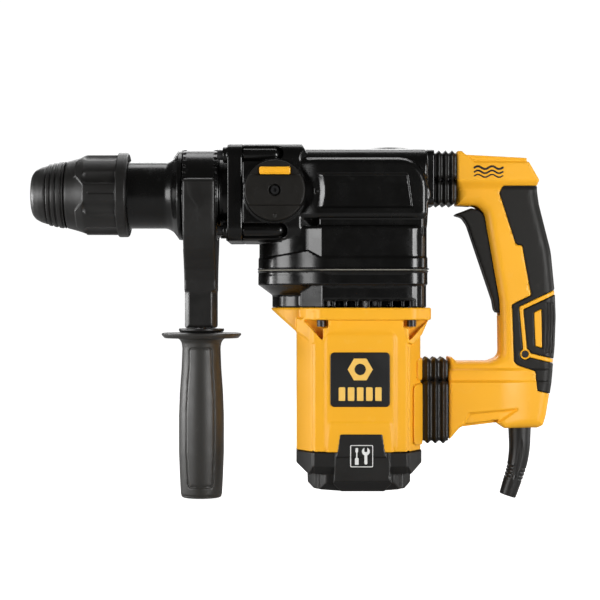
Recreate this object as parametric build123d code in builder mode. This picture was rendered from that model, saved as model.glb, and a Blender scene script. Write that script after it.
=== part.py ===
from build123d import *
from math import acos, atan, cos, degrees, hypot, pi, radians, sin, tan
import os

os.makedirs("parts", exist_ok=True)

# L shaped rotary hammer for round 18 mm tool shanks with two drive slots.
# Frame: origin at the centre of the mouth of the steel tool holder, nose towards -X, +Z up.
# The spindle lies along X, the motor, crank and intermediate shafts stand along Z.
# All lengths are millimetres.

# ---------------------------------------------------------------- driving dimensions
TOOL_BORE_R = 9.05          # takes an 18 mm tool shank
HOLDER_R = 20.0
HOLDER_END = 146.0          # the tool holder meets the hammer cylinder here
NOSE = -4.0                 # rubber lip in front of the steel mouth
SLEEVE_TRAVEL = 10.0
NECK_R = 29.0
NECK_FRONT = 79.0
BAND_SEAT_R = 37.3
BAND_X0, BAND_X1 = 127.4, 157.2
BARREL_END = 179.0
CASE_HALF = 41.7            # the front casting is a rounded square of twice this
SCREW_OFFSET = 32.0         # barrel screws sit at the corners of this half square
SCREW_R = 2.5
CYLINDER_R, CYLINDER_WALL_R = 17.5, 21.0
CYLINDER_END = 254.0
RUNNING = 0.05              # radial clearance of running fits

STROKE = 24.0
MOTOR_X = 277.5
CRANK_X = 299.5
SHAFT_X = 247.5             # intermediate shaft, also the apex of the bevel gears
CRANK_PIN_X = CRANK_X - STROKE / 2

GEAR_MODULE = 1.0
PINION_TEETH, CRANK_TEETH, SHAFT_TEETH = 8, 36, 52
BEVEL_MODULE = 1.5
BEVEL_PINION_TEETH, BEVEL_GEAR_TEETH = 10, 40
PRESSURE_ANGLE = radians(20)

CASE_TOP = 38.0
CASE_SPLIT_Z = -65.0        # gear housing above, its base below
BASE_BOTTOM_Z = -97.0
CASE_BACK_X = 335.0
NECK_BACK_X = 342.0         # rear neck that carries the upper bellows
FLANGE_Z = -107.5
MOTOR_BOTTOM_Z = -218.0
CAP_BOTTOM_Z = -253.3
MOTOR_HALF_Y = 50.0
MOTOR_X0, MOTOR_X1 = 224.4, 329.9
MOTOR_NECK_X = 332.0        # rear neck that carries the lower bellows
ARMATURE_R = 26.0
STATOR_R = 44.5

# upright screws as (x, y): gear case to motor housing, and end cap to motor housing
HOUSING_SCREWS = [(245.5, -43.0), (321.0, -43.0), (245.5, 43.0), (321.0, 43.0)]
CAP_SCREWS = [(240.0, -38.0), (315.0, -38.0), (240.0, 38.0), (315.0, 38.0)]

KNOB_X, KNOB_Z, KNOB_R = 206.4, 1.0, 25.5
KNOB_BACK_Y, KNOB_FACE_Y = -43.0, -52.0

HANDLE_FRONT_X, ARM_FRONT_X = 361.0, 354.0
GRIP_HALF_Y, BLOCK_HALF_Y = 17.0, 23.0
SKIN, WALL = 2.5, 5.5       # overmould thickness, and depth of the inner face of the shells
TRIGGER_PIVOT = (402.0, -97.0)
ROD_R = 4.0
UPPER_ROD_Z, LOWER_ROD_Z, ROD_Y = 16.0, -180.0, 12.0

ARM_X = 142.2               # axis of the side handle stem
ARM_BOTTOM_Z = -115.0
BOLT_R = 4.0
GRIP_GAP = 0.3

BOOT_X, BOOT_TOP_Z = 417.3, -186.0
BOOT_BORE_R = 4.75


# ---------------------------------------------------------------- helpers
def turned(outline):
    """Solid of revolution about the spindle axis, from (station, radius) corners."""
    with BuildPart() as solid:
        with BuildSketch(Plane.XZ):
            with BuildLine():
                Polyline(*outline, close=True)
            make_face()
        revolve(axis=Axis.X)
    return solid.part


def turned_upright(x, outline):
    """Solid of revolution about the upright line at x, from (radius, height) corners."""
    with BuildPart() as solid:
        with BuildSketch(Plane(origin=(x, 0, 0), x_dir=(1, 0, 0), z_dir=(0, -1, 0))):
            with BuildLine():
                Polyline(*outline, close=True)
            make_face()
        revolve(axis=Axis((x, 0, 0), (0, 0, 1)))
    return solid.part


def tube_x(x0, x1, inner, outer):
    """Ring about the spindle axis."""
    return turned([(x0, inner), (x1, inner), (x1, outer), (x0, outer)])


def tube_z(x, z0, z1, inner, outer):
    """Ring about an upright axis."""
    return turned_upright(x, [(inner, z0), (outer, z0), (outer, z1), (inner, z1)])


def rod(start, end, radius):
    """Round bar between two points."""
    direction = Vector(*end) - Vector(*start)
    with BuildPart() as solid:
        with BuildSketch(Plane(origin=start, z_dir=direction)):
            Circle(radius)
        extrude(amount=direction.length)
    return solid.part


def block(x0, x1, y0, y1, z0, z1):
    """Plain box between two corners."""
    with BuildPart() as solid:
        with BuildSketch(Plane.XY.offset(z0)):
            with Locations(((x0 + x1) / 2, (y0 + y1) / 2)):
                Rectangle(x1 - x0, y1 - y0)
        extrude(amount=z1 - z0)
    return solid.part


def rounded_block(x0, x1, half_y, z0, z1, corner):
    """Box with rounded upright corners, centred on Y = 0."""
    with BuildPart() as solid:
        with BuildSketch(Plane.XY.offset(z0)):
            with Locations(((x0 + x1) / 2, 0)):
                RectangleRounded(x1 - x0, 2 * half_y, corner)
        extrude(amount=z1 - z0)
    return solid.part


def rounded_duct(x0, x1, half_y, z0, z1, corner):
    """Box with rounded corners along X, centred on Y = 0."""
    with BuildPart() as solid:
        with BuildSketch(Plane.YZ.offset(x0)):
            with Locations((0, (z0 + z1) / 2)):
                RectangleRounded(2 * half_y, z1 - z0, corner)
        extrude(amount=x1 - x0)
    return solid.part


def side_profile(outline, y0, y1):
    """Side view outline, a list of (x, z) corners, as a slab between two Y planes."""
    with BuildPart() as solid:
        with BuildSketch(Plane.XZ.offset(-y1)):
            with BuildLine():
                Polyline(*outline, close=True)
            make_face()
        extrude(amount=y1 - y0)
    return solid.part


def octagon(x0, x1, half_y, cut_x, cut_y):
    """Corners of a rectangle centred on Y = 0 with its corners cut off."""
    return [(x0 + cut_x, -half_y), (x1 - cut_x, -half_y), (x1, -half_y + cut_y), (x1, half_y - cut_y),
            (x1 - cut_x, half_y), (x0 + cut_x, half_y), (x0, half_y - cut_y), (x0, -half_y + cut_y)]


def octagon_block(x0, x1, half_y, cut_x, cut_y, z0, z1):
    """Upright block on that plan."""
    with BuildPart() as solid:
        with BuildSketch(Plane.XY.offset(z0)):
            with BuildLine():
                Polyline(*octagon(x0, x1, half_y, cut_x, cut_y), close=True)
            make_face()
        extrude(amount=z1 - z0)
    return solid.part


def involute_points(module, teeth, addendum, steps=6):
    """Points of one tooth, root to tip to root, centred on the local X axis."""
    pitch_r = module * teeth / 2
    base_r = pitch_r * cos(PRESSURE_ANGLE)
    tip_r = pitch_r + addendum * module
    root_r = pitch_r - 1.2 * module
    backlash = 0.06 * module
    half_tooth = pi / (2 * teeth) - backlash / pitch_r
    involute_at_pitch = tan(PRESSURE_ANGLE) - PRESSURE_ANGLE
    flank = []
    for step in range(steps + 1):
        radius = max(base_r, root_r) + (tip_r - max(base_r, root_r)) * step / steps
        roll = acos(min(1.0, base_r / radius))
        angle = half_tooth + involute_at_pitch - (tan(roll) - roll)
        flank.append((radius, angle))
    if root_r < base_r:
        flank.insert(0, (root_r, flank[0][1] * 0.95))
    lower = [(radius * cos(angle), -radius * sin(angle)) for radius, angle in flank]
    upper = [(x, -y) for x, y in reversed(lower)]
    return lower + upper


def gear_outline(module, teeth, addendum=0.9, phase=0.0):
    """Closed corner list of a whole spur gear; phase is the turn of the first tooth in degrees."""
    tooth = involute_points(module, teeth, addendum)
    corners = []
    for number in range(teeth):
        turn = radians(phase) + 2 * pi * number / teeth
        for x, y in tooth:
            corners.append((x * cos(turn) - y * sin(turn), x * sin(turn) + y * cos(turn)))
    return corners


def spur_gear(x, z0, z1, module, teeth, bore, addendum=0.9, phase=0.0):
    """Spur gear on an upright axis."""
    with BuildPart() as gear:
        with BuildSketch(Plane(origin=(x, 0, z0))):
            with BuildLine():
                Polyline(*gear_outline(module, teeth, addendum, phase), close=True)
            make_face()
            if bore > 0:
                Circle(bore, mode=Mode.SUBTRACT)
        extrude(amount=z1 - z0)
    return gear.part


def coil_spring(start, end, radius, wire_r, turns):
    """Open coil spring between two points."""
    axis = Vector(*end) - Vector(*start)
    with BuildPart() as spring:
        with BuildLine():
            path = Helix(axis.length / turns, axis.length, radius, center=start, direction=axis)
        with BuildSketch(Plane(origin=path @ 0, z_dir=path % 0)):
            Circle(wire_r)
        sweep(is_frenet=True)
    return spring.part


def bearing(x, z0, z1, inner, outer):
    """Deep groove bearing as a ring with a recessed face on each side, on an upright axis."""
    lip = (outer - inner) * 0.3
    face = 0.8
    return turned_upright(x, [
        (inner, z0), (inner + lip, z0), (inner + lip, z0 + face), (outer - lip, z0 + face),
        (outer - lip, z0), (outer, z0), (outer, z1), (outer - lip, z1),
        (outer - lip, z1 - face), (inner + lip, z1 - face), (inner + lip, z1), (inner, z1),
    ])


def spindle_bearing(x0, x1, inner, outer):
    """The same bearing about the spindle axis."""
    lip = (outer - inner) * 0.3
    face = 0.8
    return turned([
        (x0, inner), (x0, inner + lip), (x0 + face, inner + lip), (x0 + face, outer - lip),
        (x0, outer - lip), (x0, outer), (x1, outer), (x1, outer - lip),
        (x1 - face, outer - lip), (x1 - face, inner + lip), (x1, inner + lip), (x1, inner),
    ])


# ================================================================ chuck and spindle
KEY_X0, KEY_X1 = 44.0, 80.0

with BuildPart() as tool_holder:
    add(turned([(0, TOOL_BORE_R), (0, 16), (1.5, 17), (24.3, 17), (24.3, HOLDER_R), (63.5, HOLDER_R),
                (63.5, 25.6), (67.5, 25.6), (67.5, HOLDER_R), (134, HOLDER_R), (136, 24.5),
                (HOLDER_END, 24.5), (HOLDER_END, 11 + RUNNING), (88, 11 + RUNNING),
                (86, TOOL_BORE_R + 0.6), (38, TOOL_BORE_R + 0.6), (36, TOOL_BORE_R)]))
    # two drive keys inside the bore, and two slots for the locking rollers
    for side in (-1, 1):
        add(block(KEY_X0, KEY_X1, -1.7, 1.7, *sorted((side * 7.2, side * 11))))
        add(block(48, 68, *sorted((side * 9.2, side * 16.2)), -3.5, 3.5), mode=Mode.SUBTRACT)
tool_holder.part.label = "tool_holder"
export_step(tool_holder.part, "parts/tool_holder.step")

with BuildPart() as locking_rollers:
    for side in (-1, 1):
        add(rod((48, side * 12.7, 0), (62, side * 12.7, 0), 3.5))
locking_rollers.part.label = "locking_rollers"
export_step(locking_rollers.part, "parts/locking_rollers.step")

with BuildPart() as dust_cap:
    # soft nose, then three small ribs; the lip hole is just wider than the shank
    add(turned([(NOSE, 9.6), (NOSE, 12.5), (-3.2, 17.5), (-1, 20.5), (2, 22.8), (6, 24.3), (10, 25.4),
                (10.6, 26.4), (13.6, 26.9), (14.2, 26.2), (15.2, 26.2), (15.8, 27.4), (18.6, 27.9),
                (19.2, 27.1), (20.2, 27.1), (20.8, 28.4), (23.6, 28.9), (24.2, 28.4), (25.7, 28.8),
                (25.7, HOLDER_R + 0.2), (24.3, HOLDER_R + 0.2), (24.3, 17), (1.5, 17), (0, 16), (0, 9.6)]))
dust_cap.part.label = "dust_cap"
export_step(dust_cap.part, "parts/dust_cap.step")

SLEEVE_LOBES = 8

with BuildPart() as locking_sleeve:
    add(turned([(26, HOLDER_R + RUNNING), (26, 29.4), (28, 30), (32, 31), (37, 32.6), (43, 34.6),
                (70.6, 34.6), (71.2, 36.4), (79.4, 36.4), (80, 35.8), (80, 30), (68, 30), (68, 26),
                (36, 26), (36, HOLDER_R + RUNNING)]))
    # shallow finger scallops between the lobes
    with BuildSketch(Plane.YZ.offset(46)):
        with PolarLocations(41.5, SLEEVE_LOBES, start_angle=22.5):
            Circle(9)
    extrude(amount=24, mode=Mode.SUBTRACT)
locking_sleeve.part.label = "locking_sleeve"
export_step(locking_sleeve.part, "parts/locking_sleeve.step")

with BuildPart() as sleeve_spring:
    add(coil_spring((37.3, 0, 0), (62.3, 0, 0), 22.8, 1.0, 6))
sleeve_spring.part.label = "sleeve_spring"
export_step(sleeve_spring.part, "parts/sleeve_spring.step")

with BuildPart() as hammer_cylinder:
    add(tube_x(HOLDER_END, HOLDER_END + 5, 12, CYLINDER_WALL_R))
    add(tube_x(HOLDER_END + 5, CYLINDER_END, CYLINDER_R, CYLINDER_WALL_R))
    # air refill ports of the hammer chamber
    for angle in range(0, 360, 90):
        side = (cos(radians(angle + 45)), sin(radians(angle + 45)))
        add(rod((208, 14 * side[0], 14 * side[1]), (208, 24 * side[0], 24 * side[1]), 1.5),
            mode=Mode.SUBTRACT)
hammer_cylinder.part.label = "hammer_cylinder"
export_step(hammer_cylinder.part, "parts/hammer_cylinder.step")

BEVEL_GEAR_R = BEVEL_MODULE * BEVEL_GEAR_TEETH / 2
BEVEL_PINION_R = BEVEL_MODULE * BEVEL_PINION_TEETH / 2
BEVEL_INNER = 23.4          # inner end of the teeth, measured along the pinion axis
BEVEL_SCALE = BEVEL_INNER / BEVEL_GEAR_R
GEAR_FACE_X = SHAFT_X - BEVEL_PINION_R


def bevel_tooth(angle):
    """One straight tooth of the spindle gear; both end sections shrink towards the apex."""
    half_pitch = pi * BEVEL_MODULE / 4 - 0.12
    lean = tan(PRESSURE_ANGLE)
    with BuildPart() as tooth:
        for scale in (1.0, BEVEL_SCALE):
            with BuildSketch(Plane.XY.offset(-BEVEL_GEAR_R * scale)):
                with BuildLine():
                    tip = 0.8 * BEVEL_MODULE * scale
                    root = -1.3 * BEVEL_MODULE * scale
                    pitch_x = SHAFT_X - BEVEL_PINION_R * scale
                    Polyline((pitch_x + root, (half_pitch * scale - root * lean)),
                             (pitch_x + tip, (half_pitch * scale - tip * lean)),
                             (pitch_x + tip, -(half_pitch * scale - tip * lean)),
                             (pitch_x + root, -(half_pitch * scale - root * lean)), close=True)
                make_face()
        loft()
    return tooth.part.rotate(Axis.X, angle)


with BuildPart() as spindle_bevel_gear:
    root_big = GEAR_FACE_X - 1.22 * BEVEL_MODULE
    root_small = SHAFT_X - BEVEL_PINION_R * BEVEL_SCALE - 1.22 * BEVEL_MODULE * BEVEL_SCALE
    add(turned([(229, CYLINDER_WALL_R), (229, 27), (231, BEVEL_GEAR_R), (root_big, BEVEL_GEAR_R),
                (root_small, BEVEL_INNER), (root_small, CYLINDER_WALL_R)]))
    for number in range(BEVEL_GEAR_TEETH):
        add(bevel_tooth((number + 0.5) * 360 / BEVEL_GEAR_TEETH))
spindle_bevel_gear.part.label = "spindle_bevel_gear"
export_step(spindle_bevel_gear.part, "parts/spindle_bevel_gear.step")

# ================================================================ hammer mechanism
with BuildPart() as impact_bolt:
    add(turned([(86.5, 0), (86.5, 8), (88.5, 8.8), (100, 8.8), (104, 11), (143, 11), (145.5, 9),
                (145.5, 0)]))
impact_bolt.part.label = "impact_bolt"
export_step(impact_bolt.part, "parts/impact_bolt.step")

with BuildPart() as striker:
    add(turned([(157, 0), (157, 9), (163, 10), (165, CYLINDER_R - RUNNING), (174, CYLINDER_R - RUNNING),
                (174, 15.2), (177, 15.2), (177, CYLINDER_R - RUNNING), (191, CYLINDER_R - RUNNING),
                (191, 0)]))
striker.part.label = "striker"
export_step(striker.part, "parts/striker.step")

with BuildPart() as striker_ring:
    add(tube_x(174, 177, 15.2, CYLINDER_R - RUNNING))
striker_ring.part.label = "striker_ring"
export_step(striker_ring.part, "parts/striker_ring.step")

PISTON_X0, PISTON_X1, WRIST_X = 218.0, 246.0, 236.0
PISTON_R = CYLINDER_R - RUNNING

with BuildPart() as piston:
    add(turned([(PISTON_X0, 0), (PISTON_X0, PISTON_R), (221, PISTON_R), (221, 15), (224, 15),
                (224, PISTON_R), (PISTON_X1, PISTON_R), (PISTON_X1, 13.4), (227, 13.4), (227, 0)]))
    add(rod((WRIST_X, 0, -18), (WRIST_X, 0, 18), 4.5), mode=Mode.SUBTRACT)
piston.part.label = "piston"
export_step(piston.part, "parts/piston.step")

with BuildPart() as piston_ring:
    add(tube_x(221, 224, 15, PISTON_R))
piston_ring.part.label = "piston_ring"
export_step(piston_ring.part, "parts/piston_ring.step")

with BuildPart() as connecting_rod:
    with BuildSketch(Plane.XY.offset(-6)):
        with Locations((WRIST_X, 0)):
            Circle(8)
        with Locations((CRANK_PIN_X, 0)):
            Circle(11)
        with Locations(((WRIST_X + CRANK_PIN_X) / 2, 0)):
            Rectangle(CRANK_PIN_X - WRIST_X, 11)
        with Locations((WRIST_X, 0)):
            Circle(4.5, mode=Mode.SUBTRACT)
        with Locations((CRANK_PIN_X, 0)):
            Circle(6, mode=Mode.SUBTRACT)
    extrude(amount=12)
connecting_rod.part.label = "connecting_rod"
export_step(connecting_rod.part, "parts/connecting_rod.step")

CRANK_DISC_TOP = -8.0

with BuildPart() as wrist_and_crank_pins:
    add(rod((WRIST_X, 0, -15), (WRIST_X, 0, 15), 4.5))
    # the crank pin stops short of its seat in the disc, so that the slide is free of the spin
    add(rod((CRANK_PIN_X, 0, CRANK_DISC_TOP + 0.4), (CRANK_PIN_X, 0, 8), 6))
wrist_and_crank_pins.part.label = "wrist_and_crank_pins"
export_step(wrist_and_crank_pins.part, "parts/wrist_and_crank_pins.step")

with BuildPart() as crankshaft:
    add(turned_upright(CRANK_X, [(0, CRANK_DISC_TOP), (22, CRANK_DISC_TOP), (22, -19), (12.5, -21),
                                 (12.5, -27), (9.95, -27), (9.95, -86), (6.95, -86), (6.95, -96),
                                 (0, -96)]))
    # seat of the crank pin, and the balance cut on the far side
    add(rod((CRANK_PIN_X, 0, CRANK_DISC_TOP - 8), (CRANK_PIN_X, 0, CRANK_DISC_TOP + 1), 6),
        mode=Mode.SUBTRACT)
crankshaft.part.label = "crankshaft"
export_step(crankshaft.part, "parts/crankshaft.step")

with BuildPart() as crank_gear:
    add(spur_gear(CRANK_X, -84, -73, GEAR_MODULE, CRANK_TEETH, 9.95, 0.75, 180 / CRANK_TEETH + 180))
    add(tube_z(CRANK_X, -73, -68, 9.95, 14))
crank_gear.part.label = "crank_gear"
export_step(crank_gear.part, "parts/crank_gear.step")

with BuildPart() as intermediate_shaft:
    add(turned_upright(SHAFT_X, [(0, -BEVEL_GEAR_R - 3), (5.95, -BEVEL_GEAR_R - 3), (5.95, -96),
                                 (0, -96)]))
    add(tube_z(SHAFT_X, -BEVEL_GEAR_R - 3, -BEVEL_GEAR_R, 0, 7))
    for scale in (1.0, BEVEL_SCALE):
        with BuildSketch(Plane(origin=(SHAFT_X, 0, -BEVEL_GEAR_R * scale))):
            with BuildLine():
                Polyline(*gear_outline(BEVEL_MODULE * scale, BEVEL_PINION_TEETH, 0.8), close=True)
            make_face()
    loft(ruled=True)
intermediate_shaft.part.label = "intermediate_shaft"
export_step(intermediate_shaft.part, "parts/intermediate_shaft.step")

with BuildPart() as intermediate_gear:
    add(spur_gear(SHAFT_X, -84, -75, GEAR_MODULE, SHAFT_TEETH, 5.95, 0.75, 180 / SHAFT_TEETH))
    add(tube_z(SHAFT_X, -75, -69, 5.95, 10))
    with BuildSketch(Plane(origin=(SHAFT_X, 0, -84))):
        with PolarLocations(16.5, 6):
            Circle(4.5)
    extrude(amount=9, mode=Mode.SUBTRACT)
intermediate_gear.part.label = "intermediate_gear"
export_step(intermediate_gear.part, "parts/intermediate_gear.step")

with BuildPart() as gearbox_bearings:
    add(bearing(CRANK_X, -42, -28, 10, 19))
    add(bearing(CRANK_X, -97, -88, 7, 14))
    add(bearing(SHAFT_X, -45, -35, 6, 12))
    add(bearing(SHAFT_X, -97, -88, 6, 11))
gearbox_bearings.part.label = "gearbox_bearings"
export_step(gearbox_bearings.part, "parts/gearbox_bearings.step")

with BuildPart() as spindle_bearings:
    add(spindle_bearing(84, 100, HOLDER_R + RUNNING, 26))
    add(spindle_bearing(181, 195, CYLINDER_WALL_R + RUNNING, 34))
spindle_bearings.part.label = "spindle_bearings"
export_step(spindle_bearings.part, "parts/spindle_bearings.step")

# ================================================================ castings
REAR_PEAK_R = 39.0

with BuildPart() as front_barrel:
    add(turned([(NECK_FRONT, 26), (NECK_FRONT, 28.4), (NECK_FRONT + 0.6, NECK_R), (114.5, NECK_R),
                (116.5, 30.2), (119.5, 33), (122.5, 37.6), (123.3, REAR_PEAK_R), (127, REAR_PEAK_R),
                (127, BAND_SEAT_R), (162, BAND_SEAT_R), (162, 30), (118, 30), (114, 26)]))
    with BuildSketch(Plane.YZ.offset(162)):
        RectangleRounded(2 * CASE_HALF, 2 * CASE_HALF, 14)
        Circle(30, mode=Mode.SUBTRACT)
        with GridLocations(2 * SCREW_OFFSET, 2 * SCREW_OFFSET, 2, 2):
            Circle(SCREW_R, mode=Mode.SUBTRACT)
    extrude(amount=BARREL_END - 162)
front_barrel.part.label = "front_barrel"
export_step(front_barrel.part, "parts/front_barrel.step")

with BuildPart() as barrel_screws:
    with BuildSketch(Plane.YZ.offset(157.6)):
        with GridLocations(2 * SCREW_OFFSET, 2 * SCREW_OFFSET, 2, 2):
            Circle(4.4)
            RegularPolygon(2.4, 6, mode=Mode.SUBTRACT)
    extrude(amount=4.4)
    with BuildSketch(Plane.YZ.offset(160.5)):
        with GridLocations(2 * SCREW_OFFSET, 2 * SCREW_OFFSET, 2, 2):
            Circle(SCREW_R)
    extrude(amount=44)
barrel_screws.part.label = "barrel_screws"
export_step(barrel_screws.part, "parts/barrel_screws.step")

BULGE_X, BULGE_R = 233.5, 42.0
GEARBOX_HALF_Y = 49.0


def gearbox_plan(z0, z1, inset, bulge_r=BULGE_R):
    """Plan of the gearbox, a round front joined to a rounded rectangle, shrunk by inset."""
    with BuildPart() as solid:
        with BuildSketch(Plane.XY.offset(z0)):
            with Locations((BULGE_X, 0)):
                Circle(bulge_r - inset)
            with Locations(((BULGE_X + CASE_BACK_X) / 2, 0)):
                RectangleRounded(CASE_BACK_X - BULGE_X - 2 * inset, 2 * (GEARBOX_HALF_Y - inset),
                                 20 - inset)
        extrude(amount=z1 - z0)
    return solid.part


with BuildPart() as gear_housing:
    with BuildSketch(Plane.YZ.offset(BARREL_END)):
        RectangleRounded(2 * CASE_HALF, 2 * CASE_HALF, 14)
    extrude(amount=231 - BARREL_END)
    add(rounded_duct(229, CASE_BACK_X, 42, -30, CASE_TOP, 16))
    add(rounded_duct(236, CASE_BACK_X, 46, -23, 30, 10))
    add(gearbox_plan(CASE_SPLIT_Z, -28, 0))
    add(rounded_duct(321, NECK_BACK_X, 22, -10, CASE_TOP, 6))
    # long bosses of the barrel screws
    with BuildSketch(Plane.YZ.offset(BARREL_END)):
        with GridLocations(2 * SCREW_OFFSET, 2 * SCREW_OFFSET, 2, 2):
            Circle(6.5)
    extrude(amount=33)
    # spindle tunnel, bearing seat and bevel gear chamber
    add(tube_x(181, 195, 0, 34), mode=Mode.SUBTRACT)
    add(tube_x(BARREL_END - 1, 181, 0, 34), mode=Mode.SUBTRACT)
    add(tube_x(195, 246, 0, 32.5), mode=Mode.SUBTRACT)
    # crank chamber and the passage to the neck
    add(rounded_duct(244, 331, 38, -24, 33, 8), mode=Mode.SUBTRACT)
    add(rounded_duct(330, 336.5, 17.5, -5.5, 33, 4), mode=Mode.SUBTRACT)
    # gear chamber under the bearing web
    add(gearbox_plan(CASE_SPLIT_Z - 1, -46, 4), mode=Mode.SUBTRACT)
    # bearing seats and shaft passages through the web
    add(tube_z(CRANK_X, -47, -28, 0, 19), mode=Mode.SUBTRACT)
    add(tube_z(CRANK_X, -29, -23, 0, 13.5), mode=Mode.SUBTRACT)
    add(tube_z(SHAFT_X, -47, -35, 0, 12), mode=Mode.SUBTRACT)
    add(tube_z(SHAFT_X, -36, -20, 0, 10.5), mode=Mode.SUBTRACT)
    # crank cap opening, knob shaft bore, screw and rod holes
    add(tube_z(304, 30, 39, 0, 19), mode=Mode.SUBTRACT)
    add(rod((KNOB_X, -44, KNOB_Z), (KNOB_X, -30, KNOB_Z), 8 + RUNNING), mode=Mode.SUBTRACT)
    with BuildSketch(Plane.YZ.offset(BARREL_END - 1)):
        with GridLocations(2 * SCREW_OFFSET, 2 * SCREW_OFFSET, 2, 2):
            Circle(SCREW_R)
    extrude(amount=205.5 - BARREL_END, mode=Mode.SUBTRACT)
    for side in (-1, 1):
        add(rod((328, side * ROD_Y, UPPER_ROD_Z), (343, side * ROD_Y, UPPER_ROD_Z), ROD_R),
            mode=Mode.SUBTRACT)
with BuildPart() as screw_shanks:
    with BuildSketch(Plane.XY.offset(-109)):
        with Locations(*HOUSING_SCREWS):
            Circle(SCREW_R)
    extrude(amount=59)
with BuildPart() as gear_housing_drilled:
    add(gear_housing.part)
    add(screw_shanks.part, mode=Mode.SUBTRACT)
gear_housing_drilled.part.label = "gear_housing"
export_step(gear_housing_drilled.part, "parts/gear_housing.step")

with BuildPart() as housing_gasket:
    add(gearbox_plan(CASE_SPLIT_Z - 0.8, CASE_SPLIT_Z, 0))
    add(gearbox_plan(CASE_SPLIT_Z - 1.8, CASE_SPLIT_Z + 1, 4), mode=Mode.SUBTRACT)
    add(screw_shanks.part, mode=Mode.SUBTRACT)
housing_gasket.part.label = "housing_gasket"
export_step(housing_gasket.part, "parts/housing_gasket.step")

PLATE_Z0, PLATE_Z1 = -90.0, -86.0

with BuildPart() as gear_housing_base:
    add(gearbox_plan(-78, CASE_SPLIT_Z - 0.8, 0))
    add(gearbox_plan(BASE_BOTTOM_Z, -78, 0, 30))
    # tapered underside of the round front
    with BuildSketch(Plane.XY.offset(-78)):
        with Locations((BULGE_X, 0)):
            Circle(BULGE_R)
    with BuildSketch(Plane.XY.offset(-86)):
        with Locations((BULGE_X, 0)):
            Circle(30)
    loft()
    add(gearbox_plan(PLATE_Z1, CASE_SPLIT_Z, 4, 32), mode=Mode.SUBTRACT)
    add(gearbox_plan(BASE_BOTTOM_Z - 1, PLATE_Z0, 5, 30), mode=Mode.SUBTRACT)
    # bosses under the plate for the two lower bearings and the armature bearing
    add(tube_z(CRANK_X, BASE_BOTTOM_Z, PLATE_Z0, 0, 17))
    add(tube_z(SHAFT_X, BASE_BOTTOM_Z, PLATE_Z0, 0, 14))
    add(tube_z(MOTOR_X, -109, PLATE_Z0, 0, 19))
    add(tube_z(CRANK_X, BASE_BOTTOM_Z - 1, -88, 0, 14), mode=Mode.SUBTRACT)
    add(tube_z(CRANK_X, -89, -85, 0, 11), mode=Mode.SUBTRACT)
    add(tube_z(SHAFT_X, BASE_BOTTOM_Z - 1, -88, 0, 11), mode=Mode.SUBTRACT)
    add(tube_z(SHAFT_X, -89, -85, 0, 8), mode=Mode.SUBTRACT)
    add(tube_z(MOTOR_X, -110, -99, 0, 15), mode=Mode.SUBTRACT)
    add(tube_z(MOTOR_X, -100, -85, 0, 6.5), mode=Mode.SUBTRACT)
    # air outlet slots of the fan chamber, on both sides
    for number in range(8):
        slot_x = 251 + 9.6 * number
        add(block(slot_x - 3.2, slot_x + 3.2, -52, -40, BASE_BOTTOM_Z - 1, -91.5), mode=Mode.SUBTRACT)
        add(block(slot_x - 3.2, slot_x + 3.2, 40, 52, BASE_BOTTOM_Z - 1, -91.5), mode=Mode.SUBTRACT)
    add(screw_shanks.part, mode=Mode.SUBTRACT)
gear_housing_base.part.label = "gear_housing_base"
export_step(gear_housing_base.part, "parts/gear_housing_base.step")

with BuildPart() as crank_cap:
    add(turned_upright(304, [(0, 35.5), (16, 35.5), (16, 34), (19, 34), (19, CASE_TOP), (24, CASE_TOP),
                             (24, 38.5), (22.5, 39.2), (19, 39.2), (17, 37.6), (0, 37.6)]))
crank_cap.part.label = "crank_cap"
export_step(crank_cap.part, "parts/crank_cap.step")

# ================================================================ mode knob
with BuildPart() as mode_knob:
    with BuildSketch(Plane.XZ.offset(-KNOB_BACK_Y)):
        with Locations((KNOB_X, KNOB_Z)):
            Circle(KNOB_R)
    extrude(amount=KNOB_BACK_Y - KNOB_FACE_Y)
    # grip bar across the face
    with BuildSketch(Plane.XZ.offset(-KNOB_FACE_Y)):
        with Locations((KNOB_X, KNOB_Z)):
            Circle(KNOB_R - 0.4)
            Rectangle(2 * KNOB_R, 25.4, mode=Mode.INTERSECT)
    extrude(amount=2.2)
    add(rod((KNOB_X, KNOB_BACK_Y, KNOB_Z), (KNOB_X, -33, KNOB_Z), 8))
    # eccentric pin that moves the coupling inside
    add(rod((KNOB_X + 4.5, -33, KNOB_Z), (KNOB_X + 4.5, -29, KNOB_Z), 2.5))
    add(block(KNOB_X - 13.3, KNOB_X + 13.3, -54, -44.4, KNOB_Z + 12.9, KNOB_Z + 19.7), mode=Mode.SUBTRACT)
    add(rod((KNOB_X, -55, KNOB_Z), (KNOB_X, -50, KNOB_Z), 5), mode=Mode.SUBTRACT)
    add(rod((KNOB_X, -51, KNOB_Z), (KNOB_X, -38, KNOB_Z), 2), mode=Mode.SUBTRACT)
mode_knob.part.label = "mode_knob"
export_step(mode_knob.part, "parts/mode_knob.step")

with BuildPart() as knob_lock_button:
    add(block(KNOB_X - 13, KNOB_X + 13, -54, -47, KNOB_Z + 13.2, KNOB_Z + 19.4))
    fillet(knob_lock_button.edges().filter_by(Axis.Y), 1.2)
knob_lock_button.part.label = "knob_lock_button"
export_step(knob_lock_button.part, "parts/knob_lock_button.step")

with BuildPart() as knob_screw:
    add(rod((KNOB_X, -53, KNOB_Z), (KNOB_X, -50, KNOB_Z), 3.4))
    with BuildSketch(Plane.XZ.offset(53)):
        with Locations((KNOB_X, KNOB_Z)):
            RegularPolygon(1.7, 6)
    extrude(amount=-1.8, mode=Mode.SUBTRACT)
    add(rod((KNOB_X, -50, KNOB_Z), (KNOB_X, -38, KNOB_Z), 2))
knob_screw.part.label = "knob_screw"
export_step(knob_screw.part, "parts/knob_screw.step")

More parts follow.
